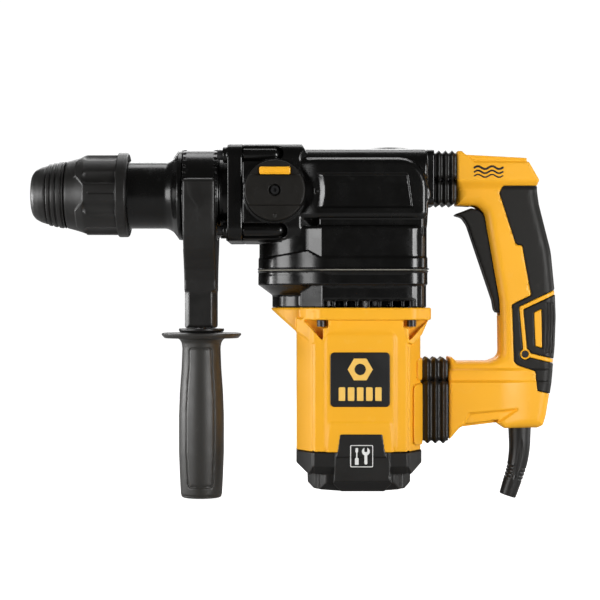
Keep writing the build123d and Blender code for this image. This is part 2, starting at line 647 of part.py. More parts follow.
# ================================================================ motor
with BuildPart() as motor_housing:
    add(octagon_block(MOTOR_X0, MOTOR_X1, MOTOR_HALF_Y, 13.6, 25, MOTOR_BOTTOM_Z, FLANGE_Z))
    add(rounded_block(229, 338, 52, FLANGE_Z, BASE_BOTTOM_Z, 22))
    # sloped front of the flange, following the round front of the gearbox
    add(side_profile([(201, BASE_BOTTOM_Z), (240, BASE_BOTTOM_Z), (240, -122), (MOTOR_X0, -117)], -27, 27))
    # rear neck in two widths for the lower bellows
    add(block(320, MOTOR_NECK_X, -19, 19, -213, -160))
    add(block(320, MOTOR_NECK_X, -16, 16, -160, -139))
    # raised panel and frame on each side
    for side in (-1, 1):
        add(block(244, 318, *sorted((side * MOTOR_HALF_Y, side * 51.2)), -214, -122))
    add(tube_z(MOTOR_X, MOTOR_BOTTOM_Z - 1, -135, 0, STATOR_R), mode=Mode.SUBTRACT)
    add(rounded_block(232, 325, 44, -136, BASE_BOTTOM_Z + 1, 18), mode=Mode.SUBTRACT)
    for x, y in HOUSING_SCREWS:
        # each screw sits in a pocket that is open to the side and narrows downwards
        add(side_profile([(x - 8, FLANGE_Z), (x + 8, FLANGE_Z), (x + 2, -124), (x - 2, -124)],
                         *sorted((y / 43.0 * 37.5, y / 43.0 * 53))), mode=Mode.SUBTRACT)
    for side in (-1, 1):
        add(rod((322, side * ROD_Y, LOWER_ROD_Z), (333, side * ROD_Y, LOWER_ROD_Z), ROD_R),
            mode=Mode.SUBTRACT)
    add(screw_shanks.part, mode=Mode.SUBTRACT)
    with BuildSketch(Plane.XY.offset(MOTOR_BOTTOM_Z - 1)):
        with Locations(*CAP_SCREWS):
            Circle(2)
    extrude(amount=20, mode=Mode.SUBTRACT)
motor_housing.part.label = "motor_housing"
export_step(motor_housing.part, "parts/motor_housing.step")

with BuildPart() as housing_screws:
    add(screw_shanks.part)
    with BuildSketch(Plane.XY.offset(-113)):
        with Locations(*HOUSING_SCREWS):
            Circle(3.9)
            RegularPolygon(2, 6, mode=Mode.SUBTRACT)
    extrude(amount=5.5)
    with BuildSketch(Plane.XY.offset(-235)):
        with Locations(*CAP_SCREWS):
            Circle(3.6)
    extrude(amount=4)
    with BuildSketch(Plane.XY.offset(-233)):
        with Locations(*CAP_SCREWS):
            Circle(2)
    extrude(amount=33.5)
housing_screws.part.label = "housing_screws"
export_step(housing_screws.part, "parts/housing_screws.step")

CAP_X0, CAP_X1 = 224.0, 331.0

with BuildPart() as motor_cap:
    add(octagon_block(CAP_X0, CAP_X1, MOTOR_HALF_Y, 14, 25, -228, MOTOR_BOTTOM_Z))
    with BuildSketch(Plane.XY.offset(-228)):
        with BuildLine():
            Polyline(*octagon(CAP_X0, CAP_X1, MOTOR_HALF_Y, 14, 25), close=True)
        make_face()
    with BuildSketch(Plane.XY.offset(-236)):
        with BuildLine():
            Polyline(*octagon(234, 321, 44, 15, 18), close=True)
        make_face()
    loft()
    add(octagon_block(234, 321, 44, 15, 18, -246, -236))
    with BuildSketch(Plane.XY.offset(-246)):
        with BuildLine():
            Polyline(*octagon(234, 321, 44, 15, 18), close=True)
        make_face()
    with BuildSketch(Plane.XY.offset(CAP_BOTTOM_Z)):
        with BuildLine():
            Polyline(*octagon(241, 314, 37, 13, 16), close=True)
        make_face()
    loft()
    # tongue up the front and back faces of the housing
    for side in (-1, 1):
        add(side_profile([(258, -219), (299, -219), (296, -202), (261, -202)],
                         *sorted((side * 51.2, side * 52.6))))
        add(side_profile([(252, -228), (305, -228), (299, -216), (258, -216)],
                         *sorted((side * 48, side * 52.6))))
    add(rounded_block(MOTOR_X0 + 4, MOTOR_X1 - 4, 45, -219, -214, 18), mode=Mode.SUBTRACT)
    add(block(250, 306, -51.2, 51.2, MOTOR_BOTTOM_Z, -210), mode=Mode.SUBTRACT)
    add(tube_z(MOTOR_X, -247, MOTOR_BOTTOM_Z + 1, 0, 38), mode=Mode.SUBTRACT)
    add(tube_z(MOTOR_X, -248, -238, 0, 15))
    add(tube_z(MOTOR_X, -247, -237, 0, 11), mode=Mode.SUBTRACT)
    with BuildSketch(Plane.XY.offset(CAP_BOTTOM_Z - 1)):
        with Locations(*CAP_SCREWS):
            Circle(3.8)
    extrude(amount=-CAP_BOTTOM_Z + 1 - 231, mode=Mode.SUBTRACT)
    with BuildSketch(Plane.XY.offset(-232)):
        with Locations(*CAP_SCREWS):
            Circle(2)
    extrude(amount=15, mode=Mode.SUBTRACT)
motor_cap.part.label = "motor_cap"
export_step(motor_cap.part, "parts/motor_cap.step")

with BuildPart() as badge_plates:
    for side in (-1, 1):
        add(block(253, 302.5, *sorted((side * 51.2, side * 52.2)), -179.5, -134))
    fillet(badge_plates.edges().filter_by(Axis.Y), 4)
badge_plates.part.label = "badge_plates"
export_step(badge_plates.part, "parts/badge_plates.step")

STACK_Z0, STACK_Z1 = -196.0, -140.0


def ring_sector(inner, outer, middle_angle, half_angle, z0, z1):
    """Part of a ring about the motor axis."""
    with BuildPart() as solid:
        with BuildSketch(Plane(origin=(MOTOR_X, 0, z0))):
            Circle(outer)
            Circle(inner, mode=Mode.SUBTRACT)
            with BuildLine():
                far = 2 * outer
                Polyline((0, 0), (far * cos(radians(middle_angle - half_angle)),
                                  far * sin(radians(middle_angle - half_angle))),
                         (far * 1.5 * cos(radians(middle_angle)), far * 1.5 * sin(radians(middle_angle))),
                         (far * cos(radians(middle_angle + half_angle)),
                          far * sin(radians(middle_angle + half_angle))), close=True)
            make_face(mode=Mode.INTERSECT)
        extrude(amount=z1 - z0)
    return solid.part


with BuildPart() as stator_core:
    add(tube_z(MOTOR_X, STACK_Z0, STACK_Z1, 37, STATOR_R))
    for middle in (90, 270):
        add(ring_sector(ARMATURE_R + 0.6, 38, middle, 48, STACK_Z0, STACK_Z1))
stator_core.part.label = "stator_core"
export_step(stator_core.part, "parts/stator_core.step")

with BuildPart() as field_coils:
    for middle in (90, 270):
        for side in (-1, 1):
            add(ring_sector(28, 36.8, middle + side * 62, 13, STACK_Z0 - 8, STACK_Z1 + 8))
        for z0 in (STACK_Z0 - 8, STACK_Z1 + 0.2):
            add(ring_sector(28, 36.8, middle, 55, z0, z0 + 7.8))
field_coils.part.label = "field_coils"
export_step(field_coils.part, "parts/field_coils.step")

with BuildPart() as armature_shaft:
    add(turned_upright(MOTOR_X, [(0, -87), (4.95, -87), (4.95, -246), (0, -246)]))
    add(spur_gear(MOTOR_X, -87, -70, GEAR_MODULE, PINION_TEETH, 0, 0.85))
armature_shaft.part.label = "armature_shaft"
export_step(armature_shaft.part, "parts/armature_shaft.step")

with BuildPart() as armature_core:
    with BuildSketch(Plane(origin=(MOTOR_X, 0, STACK_Z0))):
        Circle(ARMATURE_R)
        Circle(4.95, mode=Mode.SUBTRACT)
        with PolarLocations(20, 12):
            Circle(3, mode=Mode.SUBTRACT)
        with PolarLocations(25, 12):
            Rectangle(5, 1.6, mode=Mode.SUBTRACT)
    extrude(amount=STACK_Z1 - STACK_Z0)
armature_core.part.label = "armature_core"
export_step(armature_core.part, "parts/armature_core.step")

with BuildPart() as armature_winding:
    add(turned_upright(MOTOR_X, [(4.95, STACK_Z1), (24, STACK_Z1), (23, STACK_Z1 + 6), (16, STACK_Z1 + 9),
                                 (4.95, STACK_Z1 + 9)]))
    add(turned_upright(MOTOR_X, [(4.95, STACK_Z0), (24, STACK_Z0), (23, STACK_Z0 - 6), (15, STACK_Z0 - 11),
                                 (4.95, STACK_Z0 - 11)]))
armature_winding.part.label = "armature_winding"
export_step(armature_winding.part, "parts/armature_winding.step")

with BuildPart() as commutator:
    with BuildSketch(Plane(origin=(MOTOR_X, 0, -229))):
        Circle(14)
        Circle(4.95, mode=Mode.SUBTRACT)
        with PolarLocations(14, 24):
            Rectangle(2, 0.7, mode=Mode.SUBTRACT)
    extrude(amount=21)
commutator.part.label = "commutator"
export_step(commutator.part, "parts/commutator.step")

with BuildPart() as cooling_fan:
    add(tube_z(MOTOR_X, -130, -113, 4.95, 10))
    add(tube_z(MOTOR_X, -128, -126, 9, 38))
    with BuildSketch(Plane(origin=(MOTOR_X, 0, -126.5))):
        with PolarLocations(27, 15):
            Rectangle(20, 1.6, rotation=28)
    extrude(amount=11)
cooling_fan.part.label = "cooling_fan"
export_step(cooling_fan.part, "parts/cooling_fan.step")

with BuildPart() as armature_bearings:
    add(bearing(MOTOR_X, -108, -99, 5, 15))
    add(bearing(MOTOR_X, -247, -239, 5, 11))
armature_bearings.part.label = "armature_bearings"
export_step(armature_bearings.part, "parts/armature_bearings.step")

with BuildPart() as brush_holders:
    for side in (-1, 1):
        near, far = sorted((MOTOR_X + side * 15.5, MOTOR_X + side * 37))
        add(block(near, far, -6, 6, -226, -214))
        add(block(near - 1, far + 1, -4, 4, -224, -216), mode=Mode.SUBTRACT)
brush_holders.part.label = "brush_holders"
export_step(brush_holders.part, "parts/brush_holders.step")

with BuildPart() as carbon_brushes:
    for side in (-1, 1):
        near, far = sorted((MOTOR_X + side * 14.05, MOTOR_X + side * 31))
        add(block(near, far, -4, 4, -224, -216))
carbon_brushes.part.label = "carbon_brushes"
export_step(carbon_brushes.part, "parts/carbon_brushes.step")

# ================================================================ side handle
with BuildPart() as side_handle_band:
    add(tube_x(BAND_X0, BAND_X1, BAND_SEAT_R + RUNNING, 39.5))
    # toothed edges on the upper half
    for angle in range(0, 181, 12):
        notch = (cos(radians(angle)), sin(radians(angle)))
        for x0 in (BAND_X0 - 0.5, BAND_X1 - 1.9):
            with BuildSketch(Plane.YZ.offset(x0)):
                with Locations((notch[0] * 39.5, notch[1] * 39.5)):
                    Rectangle(1.6, 3.6, rotation=angle)
            extrude(amount=2.4, mode=Mode.SUBTRACT)
side_handle_band.part.label = "side_handle_band"
export_step(side_handle_band.part, "parts/side_handle_band.step")

STEM_X0, STEM_X1 = 128.3, 156.0

with BuildPart() as side_handle_arm:
    with BuildSketch(Plane.YZ.offset(STEM_X0)):
        with BuildLine():
            Polyline((-45, 12), (-45, -14))
            Spline((-45, -14), (-38, -42), (-22, -62), (-16, -80), tangents=((0, -1), (0, -1)))
            Polyline((-16, -80), (-16, ARM_BOTTOM_Z), (16, ARM_BOTTOM_Z), (16, -80))
            Spline((16, -80), (22, -62), (38, -42), (45, -14), tangents=((0, 1), (0, 1)))
            Polyline((45, -14), (45, 12), (-45, 12))
        make_face()
        Circle(39.5, mode=Mode.SUBTRACT)
    extrude(amount=STEM_X1 - STEM_X0)
    chamfer(side_handle_arm.edges().filter_by(Axis.X).group_by(Axis.Z)[0], 4)
    add(rod((ARM_X, 0, -30), (ARM_X, 0, ARM_BOTTOM_Z - 1), BOLT_R + 0.3), mode=Mode.SUBTRACT)
    add(block(ARM_X - 7, ARM_X + 7, -6, 6, -48, -30), mode=Mode.SUBTRACT)
side_handle_arm.part.label = "side_handle_arm"
export_step(side_handle_arm.part, "parts/side_handle_arm.step")

with BuildPart() as side_handle_bolt:
    add(block(ARM_X - 7, ARM_X + 7, -6, 6, -48, -42))
    add(rod((ARM_X, 0, -48), (ARM_X, 0, -150), BOLT_R))
side_handle_bolt.part.label = "side_handle_bolt"
export_step(side_handle_bolt.part, "parts/side_handle_bolt.step")

WASHER_TOP_Z = ARM_BOTTOM_Z - GRIP_GAP
GUARD_TOP_Z = -118.5 - GRIP_GAP

with BuildPart() as grip_washer:
    add(tube_z(ARM_X, -118.5, WASHER_TOP_Z, BOLT_R + RUNNING, 19.5))
grip_washer.part.label = "grip_washer"
export_step(grip_washer.part, "parts/grip_washer.step")

with BuildPart() as side_grip:
    add(turned_upright(ARM_X, [
        (BOLT_R + 0.3, GUARD_TOP_Z), (33.5, GUARD_TOP_Z), (34.6, -120), (34.6, -121.5), (33, -123.5),
        (22, -125), (17.5, -127.5), (16.5, -131), (17.2, -150), (18.8, -172), (19.5, -190), (19.5, -222),
        (18.6, -245), (17.7, -258), (16, -261), (0, -261), (0, -156), (BOLT_R + 0.3, -156),
    ]))
    with BuildSketch(Plane(origin=(ARM_X, 0, -140))):
        RegularPolygon(7.5, 6)
    extrude(amount=12, mode=Mode.SUBTRACT)
side_grip.part.label = "side_grip"
export_step(side_grip.part, "parts/side_grip.step")

with BuildPart() as side_grip_nut:
    with BuildSketch(Plane(origin=(ARM_X, 0, -140))):
        RegularPolygon(7.5, 6)
        Circle(BOLT_R + RUNNING, mode=Mode.SUBTRACT)
    extrude(amount=12)
side_grip_nut.part.label = "side_grip_nut"
export_step(side_grip_nut.part, "parts/side_grip_nut.step")

# ================================================================ rear handle
# the back of the grip as arcs, each from one point through the next to the one after
BACK_EDGE = [(431, 6.7), (432.9, -9), (437.4, -27), (443, -49), (446.6, -86), (447.3, -105), (446.4, -130),
             (443.6, -160), (438.9, -190)]

with BuildSketch() as handle_outline:
    with BuildLine():
        Polyline((HANDLE_FRONT_X, -9.5), (HANDLE_FRONT_X, 37), (365, 37), (368, 34), (422, 31),
                 (432, 11.5), BACK_EDGE[0])
        for first in range(0, len(BACK_EDGE) - 1, 2):
            ThreePointArc(*BACK_EDGE[first:first + 3])
        Polyline(BACK_EDGE[-1], (434, -200.5), (401, -201), (396, -195.7), (363, -199.6),
                 (ARM_FRONT_X, -211), (ARM_FRONT_X, -139), (361, -142.6), (390, -142.6))
        ThreePointArc((390, -142.6), (396, -140), (398.4, -134))
        Polyline((398.4, -134), (398, -107), (398, -91), (384, -15), (379, -11.5), (374, -10.2),
                 (HANDLE_FRONT_X, -9.5))
    make_face()

OVERMOULD = [(401, 6.7), (398, 1), (411.5, -41.5), (413, -43.5), (417, -44), (424.7, -86), (409, -94.5),
             (411, -143), (413.5, -146.5), (429, -152), (430, -167), (442, -171), (460, -175), (460, 6.7)]

with BuildSketch() as overmould_outline:
    with BuildLine():
        Polyline(*OVERMOULD, close=True)
    make_face()
    # raised strokes, the screw ring and the bar of the shells show through gaps in the soft cover
    for start, end in (((460, -76.5), (416.5, -97.5)), ((416.5, -97.5), (420, -137)),
                       ((420, -137), (460, -147))):
        middle = ((start[0] + end[0]) / 2, (start[1] + end[1]) / 2)
        run = (end[0] - start[0], end[1] - start[1])
        slope = 0 if run[0] == 0 else run[1] / run[0]
        with Locations(middle):
            Rectangle(hypot(*run) + 2, 3.5, rotation=90 if run[0] == 0 else atan(slope) * 180 / pi,
                      mode=Mode.SUBTRACT)
    with Locations((420, -137)):
        Circle(4.5, mode=Mode.SUBTRACT)
    with Locations((431, -115.5)):
        Rectangle(6.5, 32, mode=Mode.SUBTRACT)

with BuildSketch() as skin_inner:
    offset(handle_outline.sketch_local, amount=-SKIN)

with BuildSketch() as wall_inner:
    offset(handle_outline.sketch_local, amount=-WALL)


def handle_slab(outline, half_y, upper_half_y, lower_half_y):
    """The handle from its side outline: a slim grip with a wider upper block and lower arm."""
    with BuildPart() as solid:
        with BuildSketch(Plane.XZ.offset(-half_y)):
            add(outline)
        extrude(amount=2 * half_y)
        with BuildSketch(Plane.XZ.offset(-upper_half_y)):
            add(outline)
            with Locations((395, 24)):
                Rectangle(90, 68, mode=Mode.INTERSECT)
        extrude(amount=2 * upper_half_y)
        with BuildSketch(Plane.XZ.offset(-lower_half_y)):
            add(outline)
            with Locations((400, -190)):
                Rectangle(120, 92, mode=Mode.INTERSECT)
        extrude(amount=2 * lower_half_y)
    return solid.part


HANDLE_SOLID = handle_slab(handle_outline.sketch_local, GRIP_HALF_Y, BLOCK_HALF_Y, BLOCK_HALF_Y)
SKIN_CORE = handle_slab(skin_inner.sketch_local, GRIP_HALF_Y - SKIN, BLOCK_HALF_Y - SKIN,
                        BLOCK_HALF_Y - SKIN)
WALL_CORE = handle_slab(wall_inner.sketch_local, GRIP_HALF_Y - WALL, BLOCK_HALF_Y - WALL,
                        BLOCK_HALF_Y - WALL)

with BuildPart() as handle_overmould:
    with BuildSketch(Plane.XZ.offset(-30)):
        add(overmould_outline.sketch_local)
    extrude(amount=60)
    add(HANDLE_SOLID, mode=Mode.INTERSECT)
    add(SKIN_CORE, mode=Mode.SUBTRACT)
handle_overmould.part.label = "handle_overmould"
export_step(handle_overmould.part, "parts/handle_overmould.step")

TRIGGER_SLOT_HALF_Y = 10.4
TRIGGER_HALF_Y = 10.0
FLOOR_Z = -195.3            # inner floor of the shells at the mouth of the cable boot
# screw axes as (x, z, side of the head, half width of the handle there)
HANDLE_SCREWS = [(420.0, -137.0, -1, GRIP_HALF_Y), (412.0, 20.0, 1, BLOCK_HALF_Y),
                 (378.0, -170.0, 1, BLOCK_HALF_Y), (428.0, -182.0, 1, BLOCK_HALF_Y)]


def across(x, z, y0, y1, radius):
    """Round bar across the handle."""
    return rod((x, min(y0, y1), z), (x, max(y0, y1), z), radius)


with BuildPart() as handle_shells:
    add(HANDLE_SOLID)
    add(handle_overmould.part, mode=Mode.SUBTRACT)
    add(WALL_CORE, mode=Mode.SUBTRACT)
    # open slot behind the trigger, crossed by the pivot pin
    add(side_profile([(373.6, -12), (375, -6), (399, -6), (413, -91), (413, -104), (393, -104),
                      (380, -40)],
                     -TRIGGER_SLOT_HALF_Y, TRIGGER_SLOT_HALF_Y), mode=Mode.SUBTRACT)
    add(across(*TRIGGER_PIVOT, -12, 12, 2.5))
    # guides of the spring mounted rods
    for side in (-1, 1):
        for x, z in ((HANDLE_FRONT_X, UPPER_ROD_Z), (ARM_FRONT_X, LOWER_ROD_Z)):
            add(rod((x - 1, side * ROD_Y, z), (x + 7, side * ROD_Y, z), ROD_R + RUNNING),
                mode=Mode.SUBTRACT)
    add(tube_z(BOOT_X, -202, FLOOR_Z + 1, 0, 10.3), mode=Mode.SUBTRACT)
    add(tube_z(BOOT_X, FLOOR_Z, FLOOR_Z + 6, 0, 12.3), mode=Mode.SUBTRACT)
    for x, z, side, half_y in HANDLE_SCREWS:
        inner = half_y - WALL + 1
        add(across(x, z, -inner, inner, 4.5))
        add(across(x, z, side * (half_y - 4), side * (half_y + 1), 3.1), mode=Mode.SUBTRACT)
        add(across(x, z, side * (half_y - 3), side * (7 - half_y), 1.6), mode=Mode.SUBTRACT)

with BuildPart() as handle_shell_left:
    add(handle_shells.part)
    split(bisect_by=Plane.XZ, keep=Keep.TOP)
handle_shell_left.part.label = "handle_shell_left"
export_step(handle_shell_left.part, "parts/handle_shell_left.step")

with BuildPart() as handle_shell_right:
    add(handle_shells.part)
    split(bisect_by=Plane.XZ, keep=Keep.BOTTOM)
handle_shell_right.part.label = "handle_shell_right"
export_step(handle_shell_right.part, "parts/handle_shell_right.step")

with BuildPart() as handle_screws:
    for x, z, side, half_y in HANDLE_SCREWS:
        add(across(x, z, side * (half_y - 4), side * (half_y - 1.5), 3.1))
        add(across(x, z, side * (half_y - 4), side * (7 - half_y), 1.6))
handle_screws.part.label = "handle_screws"
export_step(handle_screws.part, "parts/handle_screws.step")

with BuildPart() as trigger:
    add(side_profile([(359, -17.5), (374.5, -11.6), (380, -13), (387, -17), (400, -90), (404, -102),
                      (396.5, -101.5), (395, -99.5), (393.8, -91), (371, -25), (367, -19.3)],
                     -TRIGGER_HALF_Y, TRIGGER_HALF_Y))
    add(across(*TRIGGER_PIVOT, -TRIGGER_HALF_Y, TRIGGER_HALF_Y, 6))
    add(across(*TRIGGER_PIVOT, -12, 12, 2.5 + RUNNING), mode=Mode.SUBTRACT)
trigger.part.label = "trigger"
export_step(trigger.part, "parts/trigger.step")

SWITCH_X0 = 410.0

with BuildPart() as switch_module:
    add(block(SWITCH_X0, 429, WALL - GRIP_HALF_Y, GRIP_HALF_Y - WALL, -62, -24))
    add(rod((399, 0, -46), (SWITCH_X0, 0, -46), 3))
    add(block(413, 426, -4, 4, -68, -62))
switch_module.part.label = "switch_module"
export_step(switch_module.part, "parts/switch_module.step")

with BuildPart() as trigger_spring:
    add(coil_spring((390.4, 0, -30), (409.2, 0, -30), 3.6, 0.6, 6))
trigger_spring.part.label = "trigger_spring"
export_step(trigger_spring.part, "parts/trigger_spring.step")

# ================================================================ spring mounting of the handle
with BuildPart() as guide_rods:
    for side in (-1, 1):
        y = side * ROD_Y
        add(rod((331, y, UPPER_ROD_Z), (367, y, UPPER_ROD_Z), ROD_R))
        add(rod((333, y, UPPER_ROD_Z), (336.5, y, UPPER_ROD_Z), 5))
        add(rod((367, y, UPPER_ROD_Z), (369.5, y, UPPER_ROD_Z), 5.4))
        add(rod((322, y, LOWER_ROD_Z), (360, y, LOWER_ROD_Z), ROD_R))
        add(rod((360, y, LOWER_ROD_Z), (362.5, y, LOWER_ROD_Z), 5.4))
guide_rods.part.label = "guide_rods"
export_step(guide_rods.part, "parts/guide_rods.step")

with BuildPart() as damping_springs:
    for side in (-1, 1):
        y = side * ROD_Y
        add(coil_spring((NECK_BACK_X + 1.2, y, UPPER_ROD_Z), (HANDLE_FRONT_X - 1.2, y, UPPER_ROD_Z),
                        5.4, 0.9, 5))
        add(coil_spring((MOTOR_NECK_X + 1.2, y, LOWER_ROD_Z), (ARM_FRONT_X - 1.2, y, LOWER_ROD_Z),
                        5.4, 0.9, 6))
damping_springs.part.label = "damping_springs"
export_step(damping_springs.part, "parts/damping_springs.step")


def bellows(x0, x1, half_y, z0, z1, ridges):
    """Hollow rubber bellows with square edged folds along X."""
    fold = (x1 - x0) / ridges
    with BuildPart() as sleeve:
        add(rounded_duct(x0, x1, half_y - 2.4, z0 + 2.4, z1 - 2.4, 5))
        for number in range(ridges):
            start = x0 + fold * (number + 0.2)
            add(rounded_duct(start, start + fold * 0.6, half_y, z0, z1, 6))
        add(rounded_duct(x0 - 1, x1 + 1, half_y - 4.4, z0 + 4.4, z1 - 4.4, 3), mode=Mode.SUBTRACT)
    return sleeve.part


with BuildPart() as handle_bellows:
    add(bellows(NECK_BACK_X + 0.3, HANDLE_FRONT_X - 0.3, BLOCK_HALF_Y, -9.5, CASE_TOP - 1, 3))
    add(bellows(MOTOR_NECK_X + 0.3, ARM_FRONT_X - 0.3, BLOCK_HALF_Y, -213, -139.5, 3))
handle_bellows.part.label = "handle_bellows"
export_step(handle_bellows.part, "parts/handle_bellows.step")

# ================================================================ cable boot
BEND_ANGLE = 18.0
BEND_LENGTH, EXIT_LENGTH = 30.0, 19.0
BEND_START_Z = -212.0
BEND_R = BEND_LENGTH / radians(BEND_ANGLE)


def boot_point(distance):
    """Centre of the boot and its lean in degrees, at a distance along it from its flange."""
    straight = FLOOR_Z - BEND_START_Z
    if distance <= straight:
        return BOOT_X, FLOOR_Z - distance, 0.0
    bent = min(distance - straight, BEND_LENGTH)
    lean = bent / BEND_R
    beyond = max(0.0, distance - straight - BEND_LENGTH)
    x = BOOT_X - BEND_R * (1 - cos(lean)) - beyond * sin(lean)
    z = BEND_START_Z - BEND_R * sin(lean) - beyond * cos(lean)
    return x, z, degrees(lean)


def boot_axis_point(distance):
    """The same centre as a point in space."""
    x, z, _ = boot_point(distance)
    return x, 0.0, z


BOOT_LENGTH = FLOOR_Z - BEND_START_Z + BEND_LENGTH + EXIT_LENGTH
BOOT_STATIONS = 8


def boot_loft(first_radius, last_radius):
    """Round boot body along its bent centre line, tapering from root to tip."""
    with BuildPart() as solid:
        for number in range(BOOT_STATIONS + 1):
            share = number / BOOT_STATIONS
            x, z, lean = boot_point(BOOT_LENGTH * share)
            away = (-sin(radians(lean)), 0, -cos(radians(lean)))
            with BuildSketch(Plane(origin=(x, 0, z), x_dir=(0, 1, 0), z_dir=away)):
                Circle(first_radius + (last_radius - first_radius) * share)
        loft()
    return solid.part


with BuildPart() as cable_boot:
    add(boot_loft(10.0, 7.25))
    add(tube_z(BOOT_X, FLOOR_Z, FLOOR_Z + 4, 0, 12))
    add(boot_loft(BOOT_BORE_R - 0.1, BOOT_BORE_R - 0.1), mode=Mode.SUBTRACT)
    # the last stretch of the bore is straight
    add(rod(boot_axis_point(BOOT_LENGTH + 1), boot_axis_point(BOOT_LENGTH - EXIT_LENGTH), BOOT_BORE_R),
        mode=Mode.SUBTRACT)
    add(tube_z(BOOT_X, FLOOR_Z - 1, FLOOR_Z + 5, 0, BOOT_BORE_R), mode=Mode.SUBTRACT)
cable_boot.part.label = "cable_boot"
export_step(cable_boot.part, "parts/cable_boot.step")

tip_x, tip_z, tip_lean = boot_point(BOOT_LENGTH)
print("boot tip", round(tip_x, 2), round(tip_z, 2), "leaning", round(tip_lean, 2), "degrees")
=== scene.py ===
import math

import bpy
import numpy as np
import openvdb as vdb
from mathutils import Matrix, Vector


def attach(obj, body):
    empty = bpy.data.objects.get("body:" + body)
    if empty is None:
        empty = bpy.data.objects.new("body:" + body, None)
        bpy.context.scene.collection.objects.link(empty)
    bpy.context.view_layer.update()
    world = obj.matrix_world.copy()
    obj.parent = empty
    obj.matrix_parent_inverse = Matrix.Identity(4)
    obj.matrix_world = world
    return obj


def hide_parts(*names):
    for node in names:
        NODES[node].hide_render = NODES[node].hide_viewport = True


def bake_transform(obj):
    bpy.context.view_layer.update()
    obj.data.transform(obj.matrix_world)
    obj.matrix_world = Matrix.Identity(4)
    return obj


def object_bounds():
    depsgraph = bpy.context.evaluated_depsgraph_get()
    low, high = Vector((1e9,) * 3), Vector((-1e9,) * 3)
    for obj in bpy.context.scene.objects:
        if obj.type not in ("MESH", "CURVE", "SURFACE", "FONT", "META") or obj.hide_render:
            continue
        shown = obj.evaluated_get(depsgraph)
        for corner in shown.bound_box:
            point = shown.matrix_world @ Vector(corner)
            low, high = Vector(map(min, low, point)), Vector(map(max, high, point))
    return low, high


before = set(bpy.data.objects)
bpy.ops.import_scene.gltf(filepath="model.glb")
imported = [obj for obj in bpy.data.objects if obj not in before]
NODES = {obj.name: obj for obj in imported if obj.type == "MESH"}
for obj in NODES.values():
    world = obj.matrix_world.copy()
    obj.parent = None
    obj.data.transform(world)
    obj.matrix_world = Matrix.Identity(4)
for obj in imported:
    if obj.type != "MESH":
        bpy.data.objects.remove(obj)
CAD_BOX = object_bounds()
MM = 0.001

# Rotary hammer. Shapes are signed distances in millimetres, negative inside, on a regular grid,
# in the CAD frame: nose towards -X, +Z up, mode knob on the -Y side.

# upright axes of the round case front, the motor, the side handle and the cable boot
FRONT_X = 233.5
MOTOR_X = 277.5
ARM_X = 142.2
BOOT_X = 417.3
# upright axes of the intermediate shaft and the crankshaft
INTERMEDIATE_X = 247.5
CRANK_X = 299.5
# cross axes of the mode knob and the trigger pivot
KX, KZ = 206.4, 1.0
PIVOT = (402, -97)
# square joint between barrel and gear case: half side, corner radius, half the screw spacing
FLANGE = 41.7
FLANGE_R = 13
SCREW = 32
# lower face of the gear case, upper face of its base, lower face of the motor housing
CASE_Z = -64.9
BASE_Z = -65.9
MOTOR_Z = -217.8
CORNERS = [(sy, sz) for sy in (-1, 1) for sz in (-1, 1)]


# ---------------------------------------------------------------- outlines
def fillet(corners, radius, steps=6):
    """Closed corner list with each corner turned into an arc; a third value is that corner's own radius."""
    result = []
    count = len(corners)
    for i, corner in enumerate(corners):
        r = corner[2] if len(corner) > 2 else radius
        here = np.array(corner[:2], float)
        before = np.array(corners[i - 1][:2], float) - here
        after = np.array(corners[(i + 1) % count][:2], float) - here
        lb, la = np.linalg.norm(before), np.linalg.norm(after)
        if r <= 0 or lb < 1e-6 or la < 1e-6:
            result.append(tuple(here))
            continue
        before, after = before / lb, after / la
        half = math.acos(max(-1.0, min(1.0, float(before @ after)))) / 2
        if half > 1.54 or half < 0.02:
            result.append(tuple(here))
            continue
        reach = min(r / math.tan(half), 0.48 * lb, 0.48 * la)
        r = reach * math.tan(half)
        middle = before + after
        centre = here + middle / np.linalg.norm(middle) * (r / math.sin(half))
        start, end = here + before * reach - centre, here + after * reach - centre
        a0 = math.atan2(start[1], start[0])
        turn = (math.atan2(end[1], end[0]) - a0 + math.pi) % (2 * math.pi) - math.pi
        for s in range(steps + 1):
            a = a0 + turn * s / steps
            result.append((centre[0] + r * math.cos(a), centre[1] + r * math.sin(a)))
    return result


def segment(u, v, a, b):
    """Distance to the line from a to b."""
    ex, ey = b[0] - a[0], b[1] - a[1]
    wu, wv = u - a[0], v - a[1]
    t = np.clip((wu * ex + wv * ey) / (ex * ex + ey * ey + 1e-9), 0, 1)
    return np.hypot(wu - t * ex, wv - t * ey)


def polygon(u, v, corners):
    """Signed distance to a closed corner list."""
    near = np.full(np.broadcast_shapes(u.shape, v.shape), 1e6, np.float32)
    inside = np.zeros(near.shape, bool)
    for i, b in enumerate(corners):
        a = corners[i - 1]
        near = np.minimum(near, segment(u, v, a, b))
        if a[1] != b[1]:
            cut = (b[0] - a[0]) * (v - a[1]) / (b[1] - a[1]) + a[0]
            inside ^= ((a[1] > v) != (b[1] > v)) & (u < cut)
    return np.where(inside, -near, near)


def path(u, v, points):
    """Distance to an open line through the points."""
    near = segment(u, v, points[0], points[1])
    for a, b in zip(points[1:], points[2:]):
        near = np.minimum(near, segment(u, v, a, b))
    return near


def rect(u, v, u0, u1, v0, v1, r=0.0):
    """Signed distance to a rectangle with corner radius r."""
    du = np.abs(u - (u0 + u1) / 2) - (u1 - u0) / 2 + r
    dv = np.abs(v - (v0 + v1) / 2) - (v1 - v0) / 2 + r
    return np.hypot(np.maximum(du, 0), np.maximum(dv, 0)) + np.minimum(np.maximum(du, dv), 0) - r


def disc(u, v, cu, cv, r):
    return np.hypot(u - cu, v - cv) - r


def slab(w, w0, w1):
    return np.abs(w - (w0 + w1) / 2) - (w1 - w0) / 2


